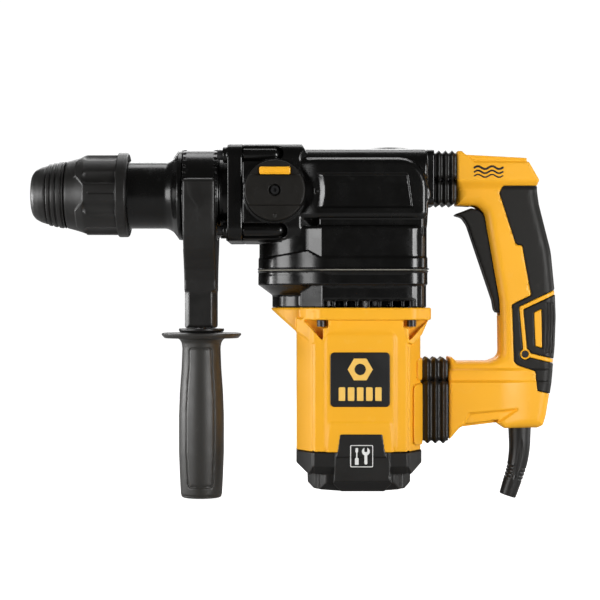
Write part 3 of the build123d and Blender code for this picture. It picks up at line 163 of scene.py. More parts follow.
def both(a, b, r=0.0):
    """Intersection, with the edge rounded to r."""
    if np.isscalar(r) and r == 0:
        return np.maximum(a, b)
    return np.minimum(np.maximum(a, b), -r) + np.hypot(np.maximum(a + r, 0), np.maximum(b + r, 0))


def either(a, b, r=0.0):
    """Union, with the inner corner filled to r."""
    return -both(-a, -b, r)


def less(a, b, r=0.0):
    """a without b."""
    return both(a, -b, r)


def ramp(value, low, high):
    """Smooth step from 0 at low to 1 at high."""
    t = np.clip((value - low) / (high - low), 0, 1)
    return t * t * (3 - 2 * t)


def notch(distance, half, depth):
    """Depth of a rounded groove along a line, to add to a distance."""
    return depth * np.clip(1 - (distance / half) ** 2, 0, 1)


# ---------------------------------------------------------------- grid and meshing
class Grid:
    """Regular grid round a box, with its coordinates as broadcasting arrays."""

    def __init__(self, low, high, voxel):
        self.voxel = voxel
        self.low = np.array(low, float) - 3 * voxel
        counts = np.ceil((np.array(high) + 3 * voxel - self.low) / voxel).astype(int) + 1
        x, y, z = (self.low[k] + voxel * np.arange(counts[k]) for k in range(3))
        self.x = x.astype(np.float32)[:, None, None]
        self.y = y.astype(np.float32)[None, :, None]
        self.z = z.astype(np.float32)[None, None, :]
        self.shape = tuple(counts)

    def turned_x(self, outline):
        """Solid of revolution about the spindle axis, from an (x, radius) outline."""
        return self.turned(outline, 0, 0.0, 0.0)

    def turned_z(self, outline, cx, cy=0.0):
        """Solid of revolution about the upright line at cx, cy, from a (radius, z) outline."""
        return self.turned([(z, r) for r, z in outline], 2, cx, cy)

    def turned(self, outline, axis, c0, c1):
        """Solid of revolution, looked up in a fine table of the outline's distance."""
        fine = self.voxel / 2
        if axis == 0:
            rho = np.sqrt(self.y ** 2 + self.z ** 2)[0]
            along = self.x[:, 0, 0]
        else:
            rho = np.hypot(self.x - c0, self.y - c1)[:, :, 0]
            along = self.z[0, 0, :]
        radii = np.arange(0, rho.max() + 2 * fine, fine, dtype=np.float32)
        table = polygon(along[:, None], radii[None, :], outline)
        index = np.minimum((rho / fine).astype(int), len(radii) - 2)
        part = (rho / fine - index).astype(np.float32)
        if axis == 0:
            return table[:, index] * (1 - part) + table[:, index + 1] * part
        table = table.T
        return table[index] * (1 - part[..., None]) + table[index + 1] * part[..., None]


def sample(d, points):
    """Trilinear value of the field at points in index coordinates."""
    base = np.clip(np.floor(points).astype(int), 0, np.array(d.shape) - 2)
    f = points - base
    value = np.zeros(len(points))
    for i in (0, 1):
        for j in (0, 1):
            for k in (0, 1):
                weight = (np.where(i, f[:, 0], 1 - f[:, 0]) * np.where(j, f[:, 1], 1 - f[:, 1])
                          * np.where(k, f[:, 2], 1 - f[:, 2]))
                value += weight * d[base[:, 0] + i, base[:, 1] + j, base[:, 2] + k]
    return value


def piece(name, grid, d, body, replaced, material, detail=0.012):
    """Mesh of the zero surface of d as a piece that rides on a body."""
    d = np.ascontiguousarray(np.broadcast_to(d, grid.shape), dtype=np.float32)
    band = 3 * grid.voxel
    level = vdb.FloatGrid(band)
    level.copyFromArray(np.clip(d, -band, band))
    points, triangles, quads = level.convertToPolygons(0.0, detail)
    points = np.array(points, float)
    step = 0.6  # how far the slope of d is measured to each side, in voxels
    normals = np.stack([sample(d, points + step * e) - sample(d, points - step * e) for e in np.eye(3)], 1)
    normals /= np.linalg.norm(normals, axis=1)[:, None] + 1e-12
    world = (grid.low + points * grid.voxel) * MM
    faces = [tuple(int(i) for i in t) for t in triangles] + [tuple(int(i) for i in q) for q in quads]
    a, b, c = (world[[f[k] for f in faces]] for k in range(3))
    facing = np.einsum("ij,ij->i", np.cross(b - a, c - a), normals[[f[0] for f in faces]])
    if facing.sum() < 0:
        faces = [f[::-1] for f in faces]
    mesh = bpy.data.meshes.new(name)
    mesh.from_pydata([tuple(p) for p in world], [], faces)
    mesh.validate()
    mesh.polygons.foreach_set("use_smooth", [True] * len(mesh.polygons))
    mesh.normals_split_custom_set_from_vertices([tuple(n) for n in normals])
    obj = bpy.data.objects.new(name, mesh)
    bpy.context.scene.collection.objects.link(obj)
    mesh.materials.append(material)
    if body:
        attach(obj, body)
    if replaced:
        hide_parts(*replaced)
    print("piece", name, len(mesh.polygons))
    return obj


# ---------------------------------------------------------------- materials
def colour(red, green, blue):
    return (red, green, blue, 1.0)


def surface(name, base, roughness, metallic=0.0, tint=0.12, tint_size=18.0, grain=900.0, grain_height=0.00003,
            rough_spread=0.06, coat=0.0, wear=None, wear_amount=0.0, brushed=None, specular=0.5):
    """Procedural material: base colour with slow variation, uneven roughness and a fine surface grain."""
    material = bpy.data.materials.new(name)
    material.use_nodes = True
    tree = material.node_tree
    nodes, links = tree.nodes, tree.links
    shader = nodes["Principled BSDF"]
    shader.inputs["Metallic"].default_value = metallic
    shader.inputs["Specular IOR Level"].default_value = specular
    if coat:
        shader.inputs["Coat Weight"].default_value = coat
        shader.inputs["Coat Roughness"].default_value = 0.08
    place = nodes.new("ShaderNodeTexCoord")
    mapping = nodes.new("ShaderNodeMapping")
    if brushed:
        mapping.inputs["Scale"].default_value = brushed
    links.new(place.outputs["Object"], mapping.inputs["Vector"])

    def noise(scale, detail, vector=place.outputs["Object"]):
        node = nodes.new("ShaderNodeTexNoise")
        node.inputs["Scale"].default_value = scale
        node.inputs["Detail"].default_value = detail
        links.new(vector, node.inputs["Vector"])
        return node.outputs["Fac"]

    def remap(value, from_min, from_max, to_min, to_max):
        node = nodes.new("ShaderNodeMapRange")
        node.inputs["From Min"].default_value = from_min
        node.inputs["From Max"].default_value = from_max
        node.inputs["To Min"].default_value = to_min
        node.inputs["To Max"].default_value = to_max
        links.new(value, node.inputs["Value"])
        return node.outputs["Result"]

    mix = nodes.new("ShaderNodeMix")
    mix.data_type = "RGBA"
    mix.inputs["A"].default_value = colour(*(c * (1 - tint) for c in base))
    mix.inputs["B"].default_value = colour(*(min(1.0, c * (1 + tint)) for c in base))
    links.new(remap(noise(tint_size, 4.0), 0.3, 0.7, 0.0, 1.0), mix.inputs["Factor"])
    tone = mix.outputs["Result"]
    if wear:
        worn = nodes.new("ShaderNodeMix")
        worn.data_type = "RGBA"
        links.new(tone, worn.inputs["A"])
        worn.inputs["B"].default_value = colour(*wear)
        links.new(remap(noise(140.0, 8.0), 0.62, 0.74, 0.0, wear_amount), worn.inputs["Factor"])
        tone = worn.outputs["Result"]
    links.new(tone, shader.inputs["Base Color"])
    smooth, coarse = max(0.03, roughness - rough_spread), min(1.0, roughness + rough_spread)
    links.new(remap(noise(60.0, 6.0), 0.3, 0.7, smooth, coarse), shader.inputs["Roughness"])
    bump = nodes.new("ShaderNodeBump")
    bump.inputs["Strength"].default_value = 1.0
    bump.inputs["Distance"].default_value = grain_height
    links.new(noise(grain, 3.0, mapping.outputs["Vector"]), bump.inputs["Height"])
    links.new(bump.outputs["Normal"], shader.inputs["Normal"])
    return material


YELLOW = surface("yellow_nylon", (0.97, 0.46, 0.02), 0.42, tint=0.035, tint_size=12.0, grain=1400.0,
                 grain_height=0.00002, rough_spread=0.05, wear=(0.98, 0.56, 0.1), wear_amount=0.2,
                 specular=0.35)
CASTING = surface("black_casting", (0.0024, 0.0023, 0.0021), 0.25, tint=0.25, grain=420.0,
                  grain_height=0.000012, rough_spread=0.05, coat=0.15, wear=(0.012, 0.012, 0.0115),
                  wear_amount=0.5, specular=0.4)
NYLON = surface("black_nylon", (0.009, 0.0085, 0.0078), 0.38, tint=0.15, grain=1200.0, grain_height=0.00003,
                wear=(0.024, 0.023, 0.022), wear_amount=0.4)
RUBBER = surface("black_rubber", (0.0085, 0.008, 0.0073), 0.42, tint=0.14, grain=1600.0, grain_height=0.00005,
                 wear=(0.022, 0.021, 0.019), wear_amount=0.4)
GRIP_RUBBER = surface("grip_rubber", (0.026, 0.0247, 0.022), 0.44, tint=0.12, grain=1700.0,
                      grain_height=0.00006, wear=(0.042, 0.04, 0.036), wear_amount=0.4)
COVER_RUBBER = surface("cover_rubber", (0.008, 0.007, 0.0055), 0.48, tint=0.12, grain=1500.0,
                       grain_height=0.00006, wear=(0.02, 0.018, 0.015), wear_amount=0.4, specular=0.28)
STEEL = surface("ground_steel", (0.6, 0.6, 0.61), 0.28, metallic=1.0, tint=0.08, grain=700.0,
                grain_height=0.00001, brushed=(1.0, 6.0, 1.0))
STEEL_BLACK = surface("black_steel", (0.03, 0.03, 0.031), 0.33, metallic=0.5, tint=0.2, grain=900.0,
                      wear=(0.1, 0.1, 0.1), wear_amount=0.5)
COPPER = surface("copper_wire", (0.72, 0.34, 0.17), 0.34, metallic=1.0, tint=0.15, grain=1100.0,
                 grain_height=0.0002, brushed=(1.0, 1.0, 4.0))
CARBON = surface("carbon_block", (0.02, 0.02, 0.021), 0.6, tint=0.2)
WHITE = surface("white_print", (0.82, 0.82, 0.8), 0.45, tint=0.03)
GOLD = surface("yellow_print", (0.95, 0.58, 0.12), 0.4, tint=0.04)
INK = surface("black_print", (0.006, 0.006, 0.006), 0.42, tint=0.1)

# CAD meshes that only take a material; the gasket and the brush holders keep their CAD material
CARRIED = (
    (STEEL, ["tool_holder", "locking_rollers", "hammer_cylinder", "spindle_bevel_gear", "impact_bolt",
             "striker", "wrist_and_crank_pins", "crankshaft", "crank_gear", "intermediate_shaft",
             "intermediate_gear", "gearbox_bearings", "spindle_bearings", "armature_shaft",
             "armature_bearings", "stator_core", "armature_core", "side_handle_bolt", "side_grip_nut",
             "guide_rods", "piston"]),
    (STEEL_BLACK, ["barrel_screws", "knob_screw", "housing_screws", "handle_screws"]),
    (RUBBER, ["striker_ring", "piston_ring"]),
    (COPPER, ["field_coils", "armature_winding", "commutator"]),
    (CARBON, ["carbon_brushes"]),
    (CASTING, ["crank_cap", "connecting_rod"]),
    (NYLON, ["cooling_fan", "switch_module"]),
)
for material, names in CARRIED:
    for name in names:
        mesh = NODES[name].data
        if len(mesh.materials):
            for number in range(len(mesh.materials)):
                mesh.materials[number] = material
        else:
            mesh.materials.append(material)


def coils(name, node):
    """Spring coils copied from a CAD node and given steel in place of the CAD material."""
    obj = bpy.data.objects.new(name, NODES[node].data.copy())
    bpy.context.scene.collection.objects.link(obj)
    obj.data.materials.clear()
    obj.data.materials.append(STEEL)
    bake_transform(obj)
    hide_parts(node)


coils("sleeve_coils", "sleeve_spring")
coils("trigger_coils", "trigger_spring")
# the line between the two ends leans so that both pairs of springs start and stop on it
coils("handle_coils", "damping_springs")

# ---------------------------------------------------------------- dust cap and locking sleeve
g = Grid((-4, -30, -30), (27, 30, 30), 0.45)
cap_outline = fillet([
    (-4, 9.6, 0), (-4, 12.6, 2), (-3.3, 17.4, 6), (-0.6, 21, 6), (4, 23.6, 8), (9.6, 25.4, 0.4),
    (9.9, 24.4, 0.3), (10.6, 24.6, 0.3), (11, 26.5, 0.6), (13.4, 26.9, 0.6), (13.8, 25.7, 0.3),
    (14.9, 25.8, 0.3), (15.3, 27.4, 0.6), (18, 27.9, 0.6), (18.4, 26.6, 0.3), (19.5, 26.7, 0.3),
    (19.9, 28.3, 0.6), (23.2, 28.8, 0.6), (23.6, 27.5, 0.3), (24.5, 27.6, 0.3), (24.7, 28.7, 0.4),
    (25.7, 28.8, 0.2), (25.7, 20.2, 0), (24.3, 20.2, 0), (24.3, 17.05, 0), (1.5, 17.05, 0),
    (0, 16.05, 0), (0, 9.6, 0)], 0.4)
piece("dust_cap_rubber", g, g.turned_x(cap_outline), "spindle", ["dust_cap"], RUBBER)

g = Grid((25, -37, -37), (81, 37, 37), 0.55)
x, y, z = g.x, g.y, g.z
sleeve = g.turned_x(fillet([
    (26, 20.1, 0), (26, 29.3, 0.8), (28, 30, 3), (32, 31, 6), (37, 32.4, 8), (43, 34.5, 8), (46, 34.6, 3),
    (70.4, 34.6, 0.5), (71.1, 36.4, 0.7), (79, 36.4, 1.4), (80, 34.8, 0.8), (80, 30, 0.4), (68, 30, 0),
    (68, 26, 0), (36, 26, 0), (36, 20.1, 0)], 0.4))
angle = np.arctan2(z, -y)
rho = np.hypot(y, z)
# the grip layer starts at a zigzag line with four tongues round the sleeve
quarter = np.abs((angle + math.pi / 4) % (math.pi / 2) - math.pi / 4)
front_line = 43.2 - np.clip((quarter - 0.2) / 0.28, 0, 1) * 6.8
sleeve = sleeve + 0.8 * (1 - ramp(x, front_line - 0.4, front_line + 0.4)) * (rho > 27)
# finger flutes with rounded ends
FLUTES = 8
for number in range(FLUTES):
    a = math.radians(22.5 + 360 / FLUTES * number)
    cy, cz = -math.cos(a) * 43.0, math.sin(a) * 43.0
    flute = both(disc(y, z, cy, cz, 10.9), slab(x, 41.0, 76), 6.0)
    sleeve = less(sleeve, both(flute, x - 70.2), 0.7)
sleeve = sleeve + notch(np.abs(z), 0.8, 0.7) * (rho > 31) * (x > 48) * (x < 70)
sleeve = sleeve + notch(np.abs(x - 70.7), 0.7, 0.4) * (rho > 31)
piece("locking_sleeve_shell", g, sleeve, "chuck_sleeve", ["locking_sleeve"], RUBBER)

# ---------------------------------------------------------------- front barrel
g = Grid((79, -42, -42), (180, 42, 42), 0.65)
x, y, z = g.x, g.y, g.z
barrel = g.turned_x(fillet([
    (79, 26, 0), (79, 29, 0.6), (113, 29, 8), (118.5, 32, 8), (122.6, 37.8, 3), (123.4, 39, 0.7),
    (127, 39, 0.6), (127, 37.3, 0.2), (158.5, 37.3, 0.8), (158.5, 35, 1), (163, 34, 2), (170, 34, 0),
    (170, 30, 0), (118, 30, 0), (114, 26, 0)], 0.4))
plate = both(rect(y, z, -FLANGE, FLANGE, -FLANGE, FLANGE, FLANGE_R), slab(x, 166.2, 181), 1.0)
# scooped front face of the flange, with a boss round each screw
dish = both(np.hypot(y, z) - 37.5, slab(x, 160, 168.4), 1.5)
plate = less(plate, dish, 1.0)
for sy, sz in CORNERS:
    column = both(disc(y, z, SCREW * sy, SCREW * sz, 6.8), slab(x, 162.2, 179), 0.8)
    plate = either(plate, column, 1.0)
barrel = either(barrel, plate, 1.2)
barrel = less(barrel, both(np.hypot(y, z) - 30, slab(x, 118, 185)))
for sy, sz in CORNERS:
    barrel = less(barrel, disc(y, z, SCREW * sy, SCREW * sz, 2.5))
barrel = both(barrel, x - 178.9)
piece("front_barrel_casting", g, barrel, "chassis", ["front_barrel"], CASTING)

# ---------------------------------------------------------------- gear housing
g = Grid((177, -51, -67), (345, 51, 43), 0.7)
x, y, z = g.x, g.y, g.z
ay = np.abs(y)


def lower_plan(x, y, grow=0.0, merge=14.0):
    """Plan of the gear case below its shoulder."""
    return either(np.hypot(x - FRONT_X, y) - 42 - grow,
                  rect(x, y, 236, 335.2 + grow, -49.2 - grow, 49.2 + grow, 17), merge)


front = both(rect(y, z, -FLANGE, FLANGE, -FLANGE, FLANGE, FLANGE_R), slab(x, 176, 236), 1.0)
front = both(front, (x - 227.2) * 0.61 + (ay - FLANGE) * 0.79, 0.7)
front = both(front, (x - 229) * 0.915 + (z - FLANGE) * 0.404, 0.7)
crank = both(rect(y, z, -40.5, 40.5, -32, 38, 17), slab(x, 200, 335), 2.5)
case = either(front, crank, 0.8)
pillow_side = fillet([(214, -23, 4), (214, 28.6, 4), (335, 28.6, 30), (335, -23, 7)], 1)
pillow = both(polygon(x, z, pillow_side), ay - 40.5 - 5.7 * ramp(x, 222, 245), 5.5)
# recessed flat panel whose front wall is an arc round the knob
panel = polygon(x, z, fillet([(236, 15.6), (318, 15.6, 2), (322, -13.6, 2), (236, -13.6)], 1))
from_knob = np.hypot(x - KX, z - KZ)
recess = np.minimum(ramp(-panel, 0, 1.4), np.clip((from_knob - 37.5) / 4.6, 0, 1) * (from_knob > 37.5))
pillow = pillow + 1.7 * recess
case = either(case, pillow, 1.2)
belt = both(rect(y, z, -43.8, 43.8, -40, 12, 6), slab(x, 243, 331.5), 2.5)
case = either(case, belt, 0.8)
upper_plan = polygon(x, y, fillet([
    (233, -42.2, 0), (234, -42.2, 0.3), (245.6, -48.6, 1.5), (334.6, -48.6, 17), (334.6, 48.6, 17),
    (245.6, 48.6, 1.5), (234, 42.2, 0.3), (233, 42.2, 0)], 1))
upper_plan = either(upper_plan, np.hypot(x - FRONT_X, y) - 41.2, 0.3)
case = either(case, both(upper_plan, slab(z, -60, -28.2), 3.0), 0.8)
ledge = np.where(x > 234, -49 - (x - 234) * 0.55, -49 - (234 - x) * 0.17)
ledge = np.maximum(ledge, -54.6)
case = either(case, both(lower_plan(x, y), both((z - ledge) * 0.88, CASE_Z - z), 0.7), 0.4)
case = either(case, both(rect(y, z, -22, 22, -10, 38, 6), slab(x, 318, 342), 0.8), 1.5)
case = either(case, both(disc(x, z, 324.5, -1.5, 12.5), ay - 43.5, 1.5), 0.8)
lip = both(lower_plan(x, y, 0.9), slab(z, CASE_Z, -63.9), 0.3)
lip = either(lip, both(rect(x, y, 320, 337.6, -30, 30, 8), slab(z, CASE_Z, -63.9), 0.3), 0.2)
case = either(case, lip, 0.3)
# channels beside the barrel screws, with the screw bosses standing in them
for sy, sz in CORNERS:
    end = 214.5 if sz > 0 else 218.0
    cy, cz = 37.5 * sy, 31.8 * sz
    along = np.maximum(x - (end - 7), 0)
    channel = np.sqrt((y - cy) ** 2 + (z - cz) ** 2 + along ** 2) - 6.6
    case = less(case, channel, 0.9)
    along = np.maximum(x - (end - 9), 0)
    boss = np.sqrt((y - 34.8 * sy) ** 2 + (z - cz) ** 2 + along ** 2) - 5.6
    case = either(case, both(boss, 179.2 - x), 0.8)
# seat ring and index mark of the knob
case = either(case, both(disc(x, z, KX, KZ, 27.2), both(-y - 42.6, y), 0.8), 0.5)
mark = both(rect(x, z, 238.6, 239.8, -2.2, 3.4, 0.4), both(-y - 47.2, y), 0.3)
mark = either(mark, both(disc(x, z, 241.6, 0.6, 1.2), both(-y - 47.2, y), 0.3))
case = either(case, mark, 0.2)
case = case + notch(np.abs(x - 179.2), 0.6, 0.45)
# inside: spindle tunnel, crank chamber, gear chamber and bearing seats
rho = np.hypot(y, z)
inside = both(rho - 34, slab(x, 170, 195))
inside = either(inside, both(rho - 32.5, slab(x, 190, 246)))
inside = either(inside, both(rect(y, z, -38, 38, -24, 33, 8), slab(x, 244, 331)))
inside = either(inside, both(rect(y, z, -17.5, 17.5, -5.5, 33, 4), slab(x, 330, 336.5)))
inside = either(inside, both(lower_plan(x, y, -4), slab(z, -70, -46)))
for cx, r, z0, z1 in ((CRANK_X, 19, -47, -28), (CRANK_X, 13.5, -29, -20), (INTERMEDIATE_X, 12, -47, -35),
                      (INTERMEDIATE_X, 10.5, -36, -20), (304, 19, 30, 45)):
    inside = either(inside, both(disc(x, y, cx, 0, r), slab(z, z0, z1)))
inside = either(inside, both(disc(x, z, KX, KZ, 8.1), slab(y, -50, -30)))
for sy in (-12, 12):
    inside = either(inside, both(disc(y, z, sy, 16, 4), slab(x, 326, 350)))
case = both(less(case, inside), 178.95 - x)
case = both(case, -64.95 - z)
piece("gear_case", g, case, "chassis", ["gear_housing"], CASTING)

# ---------------------------------------------------------------- gear housing base
g = Grid((190, -51, -110), (338, 51, -65), 0.7)
x, y, z = g.x, g.y, g.z
ay = np.abs(y)
base = both(lower_plan(x, y), slab(z, -78, BASE_Z), 0.8)
base = either(base, both(lower_plan(x, y, 0.9), slab(z, -66.8, BASE_Z), 0.3), 0.3)
skirt = polygon(x, y, fillet([
    (228, -33, 0.5), (246, -48.2, 2), (334.2, -48.2, 17), (334.2, 48.2, 17), (246, 48.2, 2),
    (228, 33, 0.5)], 1))
skirt = either(np.hypot(x - FRONT_X, y) - 30, skirt, 1.0)
base = either(base, both(skirt, slab(z, -97, -70), 0.7), 0.3)
cone = g.turned_z([(0, -70), (42, -70), (42, -77.6), (30, -86.6), (0, -86.6)], FRONT_X)
base = either(base, cone, 0.6)
# air slots over the motor fan
AIR_SLOTS = 8
for number in range(AIR_SLOTS):
    slot_x = 251 + 9.6 * number
    cut = both(rect(x, z, slot_x - 3.4, slot_x + 3.4, -99, -91.6, 0.8), 41 - ay)
    base = less(base, cut, 0.4)
frame_line = rect(x, z, 247.5, 323.5, -99, -90.2, 1)
base = base + notch(np.abs(frame_line), 0.6, 0.6) * (ay > 44)
# inside: gear chamber above the floor, fan space below it, and bearing seats in the floor
chamber = rect(x, y, 238, 330, -44, 44, 15)
inside = both(lower_plan(x, y, -4), slab(z, -77.5, -60))
inside = either(inside, both(np.hypot(x - FRONT_X, y) - 27, slab(z, -88, -60)))
inside = either(inside, both(chamber, slab(z, -88, -60)))
inside = either(inside, both(either(np.hypot(x - FRONT_X, y) - 25, chamber), slab(z, -120, -90)))
base = less(base, inside)
for cx, r, z0, z1 in ((CRANK_X, 17, -97, -89), (INTERMEDIATE_X, 14, -97, -89), (MOTOR_X, 19, -109, -89)):
    base = either(base, both(disc(x, y, cx, 0, r), slab(z, z0, z1)))
for cx, r, z0, z1 in ((CRANK_X, 14, -98, -88), (CRANK_X, 11, -89, -85),
                      (INTERMEDIATE_X, 11, -98, -88), (INTERMEDIATE_X, 8, -89, -85),
                      (MOTOR_X, 15, -112, -99), (MOTOR_X, 6.5, -100, -85)):
    base = less(base, both(disc(x, y, cx, 0, r), slab(z, z0, z1)))
piece("gear_case_base", g, base, "chassis", ["gear_housing_base"], CASTING)

# ---------------------------------------------------------------- motor housing
g = Grid((200, -53, -219), (340, 53, -96), 0.65)
x, y, z = g.x, g.y, g.z
ay = np.abs(y)


def motor_plan(x, y, grow=0.0):
    """Plan of the motor housing: flat sides, sloped corners."""
    return polygon(x, y, fillet([
        (224.4, -25, 9), (238.4, -49.4, 3), (317.8, -49.4, 3), (329.9, -25, 9), (329.9, 25, 9),
        (317.8, 49.4, 3), (238.4, 49.4, 3), (224.4, 25, 9)], 1)) - grow


shell = both(motor_plan(x, y), slab(z, MOTOR_Z, -100), 0.5)
side_panel = polygon(x, z, fillet([(250, -120), (306, -120), (306, -216), (250, -216)], 4))
shell = either(shell, both(side_panel, ay - 50.3, 0.9), 3.5)
arch = polygon(x, z, fillet([
    (251.5, -192.6, 3), (303.6, -192.6, 3), (306.5, -230, 0), (248.6, -230, 0)], 1))
shell = either(shell, both(arch, ay - 51.9, 1.6), 1.6)
shell = both(shell, MOTOR_Z - z, 0.5)
groove = np.minimum(path(x, z, [(238.6, -126), (238.6, -219)]), path(x, z, [(317.8, -120), (317.8, -219)]))
shell = shell + notch(groove, 1.3, 0.9) * (ay > 40) * (z < -127)
collar = both(rect(x, z, 322.8, 340, -213.2, -161.8, 4), motor_plan(x, y, 2.0), 1.2)
collar = either(collar, both(rect(x, z, 326.4, 340, -158.6, -140.8, 2.5), motor_plan(x, y, 1.6), 1.0))
collar = both(collar, x - 331.6, 0.8)
shell = either(shell, collar, 0.8)
shell = either(shell, both(rect(y, z, -21, 21, -213, -161.5, 5), slab(x, 318, 332), 0.8), 1.0)
shell = either(shell, both(rect(y, z, -17.5, 17.5, -158.8, -140, 4), slab(x, 318, 332), 0.8), 1.0)
flange_plan = polygon(x, y, fillet([
    (228, -36, 3), (233, -45, 5), (244, -52, 5), (324, -52, 10), (338, -38, 8), (338, 38, 8),
    (324, 52, 10), (244, 52, 5), (233, 45, 5), (228, 36, 3)], 1))
shell = either(shell, both(flange_plan, slab(z, -107.5, -97.1), 1.3), 0.8)
# sloped nose under the round front of the gear case
nose = both(polygon(x, z, fillet([(201, -97.1, 1), (246, -97.1, 0), (246, -126, 2), (224.6, -117.8, 3)], 1)),
            np.hypot(x - FRONT_X, y) - 32.4, 2.0)
shell = either(shell, nose, 1.5)
# corner webs from the flange down to the body, each with a pocket for a flange screw
for web, edge_x, lean in (
        ([(224.5, -106), (253, -106), (247.4, -125.6), (242, -129.5, 2), (224.5, -117.5)], 247.4, -0.46),
        ([(336, -106), (313, -106), (317.4, -125.6), (322, -128.5, 2), (330, -119.4)], 317.4, 0.46)):
    face = 0.888 * (ay - 50.0) + lean * (x - edge_x)
    shell = either(shell, both(both(polygon(x, z, fillet(web, 0.8)), face, 1.0), ay - 50.3, 0.8), 1.0)
inside = both(disc(x, y, MOTOR_X, 0, 44.5), slab(z, -225, -135))
inside = either(inside, both(both(rect(x, y, 232, 325, -44, 44, 18), slab(z, -136, -90)), ay - 36.5))
for sy in (-12, 12):
    inside = either(inside, both(disc(y, z, sy, -180, 4), slab(x, 322, 340)))
shell = less(shell, inside)
for pocket in (
        [(230.6, -107.5, 0.5), (251, -107.5, 0.5), (251, -113.5, 1), (246.8, -114.5, 0.8),
         (246.4, -125, 0.8)],
        [(313.8, -107.5, 0.5), (335, -107.5, 0.5), (318.6, -125, 0.8), (318.2, -114.5, 0.8),
         (313.8, -113.5, 1)]):
    shell = less(shell, both(polygon(x, z, fillet(pocket, 0.5)), 38.9 - ay), 0.6)
piece("motor_shell", g, shell, "chassis", ["motor_housing"], YELLOW)

# ---------------------------------------------------------------- motor cap
g = Grid((223, -53, -254), (332, 53, -201), 0.6)
x, y, z = g.x, g.y, g.z
ay = np.abs(y)
cap_plan = polygon(x, y, fillet([
    (224, -25, 6), (238, -50, 2), (318, -50, 2), (331, -25, 6), (331, 25, 6), (318, 50, 2), (238, 50, 2),
    (224, 25, 6)], 1))
taper = polygon(x, z, fillet([
    (215, -218, 0), (224, -218, 0), (224, -228.4, 1), (234.4, -236.8, 0.5), (320.6, -236.8, 0.5),
    (331, -228.4, 1), (331, -218, 0)], 1))
side_taper = polygon(ay, z, [(0, -218), (50, -218), (50, -230), (44, -236.8), (0, -236.8)])
cover = both(both(cap_plan, taper, 0.8), side_taper, 0.6)
low_plan = polygon(x, y, fillet([
    (233.6, -26, 3), (249, -44.5, 2), (306.5, -44.5, 2), (321.4, -26, 3), (321.4, 26, 3), (306.5, 44.5, 2),
    (249, 44.5, 2), (233.6, 26, 3)], 1))
low_side = polygon(x, z, fillet([
    (233.6, -230, 0), (233.6, -244.8, 1), (239, -249.8, 1), (262, -251.9, 0), (293, -251.9, 0),
    (315.8, -249.8, 1), (321.4, -244.8, 1), (321.4, -230, 0)], 1))
low_front = polygon(ay, z, [(0, -230), (46, -230), (46, -243.5), (37, -251.9), (0, -251.9)])
cover = either(cover, both(both(low_plan, low_side, 1.0), low_front, 0.8), 0.3)
plate = polygon(x, z, fillet([
    (257, -218), (302, -218), (303.6, -245, 1), (298, -251.9), (262, -251.9), (255.6, -245, 1)], 0.6))
plate_side = polygon(ay, z, [(0, -200), (51.3, -200), (51.3, -242), (40, -251.9), (0, -251.9)])
cover = either(cover, both(both(plate, plate_side, 0.7), 218.0 + z), 0.4)
tongue = polygon(x, z, fillet([(257.6, -222, 0), (299.4, -222, 0), (296.6, -202, 2), (260.4, -202, 2)], 1))
cover = either(cover, both(tongue, np.abs(ay - 47) - 5.5, 0.9), 0.4)
cover = cover + notch(np.minimum(np.abs(x - 238.4), np.abs(x - 317.8)), 1.1, 0.6) * (z > -237.5) * (ay > 40)
inside = both(cap_plan + 4.6, slab(z, -228, -200))
inside = either(inside, both(disc(x, y, MOTOR_X, 0, 38), slab(z, -247, -210)))
inside = either(inside, both(ay - 51.9, slab(z, -217.9, -201)))
cover = less(cover, inside)
# ring that holds the lower bearing of the armature
seat = both(disc(x, y, MOTOR_X, 0, 15), 11 - np.hypot(x - MOTOR_X, y))
cover = either(cover, both(seat, slab(z, -248, -238)))
for sx in (240, 315):
    for sy in (-38, 38):
        cover = less(cover, both(disc(x, y, sx, sy, 3.8), slab(z, -260, -231)))
piece("motor_end_cap", g, cover, "chassis", ["motor_cap"], NYLON)

# ---------------------------------------------------------------- badge with a plain nut and bars
g = Grid((252, -53, -181), (304, 53, -133), 0.45)
x, y, z = g.x, g.y, g.z
ay = np.abs(y)
badge = both(rect(x, z, 252.8, 302.4, -180, -134.4, 3.5), np.abs(ay - 51) - 1.1, 0.4)
piece("badge_plate", g, badge, "chassis", ["badge_plates"], INK)


def hexagon(u, v, cu, cv, across):
    """Signed distance to a hexagon, from half its width across flats."""
    du, dv = np.abs(u - cu), np.abs(v - cv)
    return np.maximum(dv, du * 0.866 + dv * 0.5) - across


NUT = (277.6, -148.6)
emblem = both(hexagon(x, z, *NUT, 9.2), -disc(x, z, *NUT, 4.6))
BARS, BAR_STEP = 5, 7.6
for number in range(BARS):
    bar_x = BAR_STEP * number
    emblem = either(emblem, rect(x, z, 259.6 + bar_x, 265.2 + bar_x, -175, -163.4, 0.8))
emblem = both(emblem, np.abs(ay - 51.3) - 1.05, 0.25)
emblem = both(emblem, 51.6 - ay)
piece("badge_emblem", g, emblem, "chassis", [], GOLD)

# printed tool sign on the cap tongue: a screwdriver and a spanner in a frame
g = Grid((268, -53.2, -231), (290, -51.8, -211), 0.25)
x, y, z = g.x, g.y, g.z
sign = np.abs(rect(x, z, 269.6, 288, -229.8, -212, 0.8)) - 0.45
driver = either(rect(x, z, 273, 276.4, -228.2, -222.4, 0.8), rect(x, z, 274.1, 275.3, -223, -217.6))
driver = either(driver, polygon(x, z, [
    (273.6, -214), (275.8, -214), (276, -217), (275.2, -218.4), (274.2, -218.4), (273.4, -217)]))
spanner = rect(x, z, 281, 283.6, -228, -218, 1.2)
spanner = either(spanner, disc(x, z, 282.3, -217, 3.4))
spanner = less(spanner, rect(x, z, 281.2, 283.4, -217.4, -212, 0.6))
sign = either(either(sign, driver), spanner)
sign = both(sign, slab(y, -52.62, -52.2))
piece("cap_sign", g, sign, "chassis", [], WHITE)

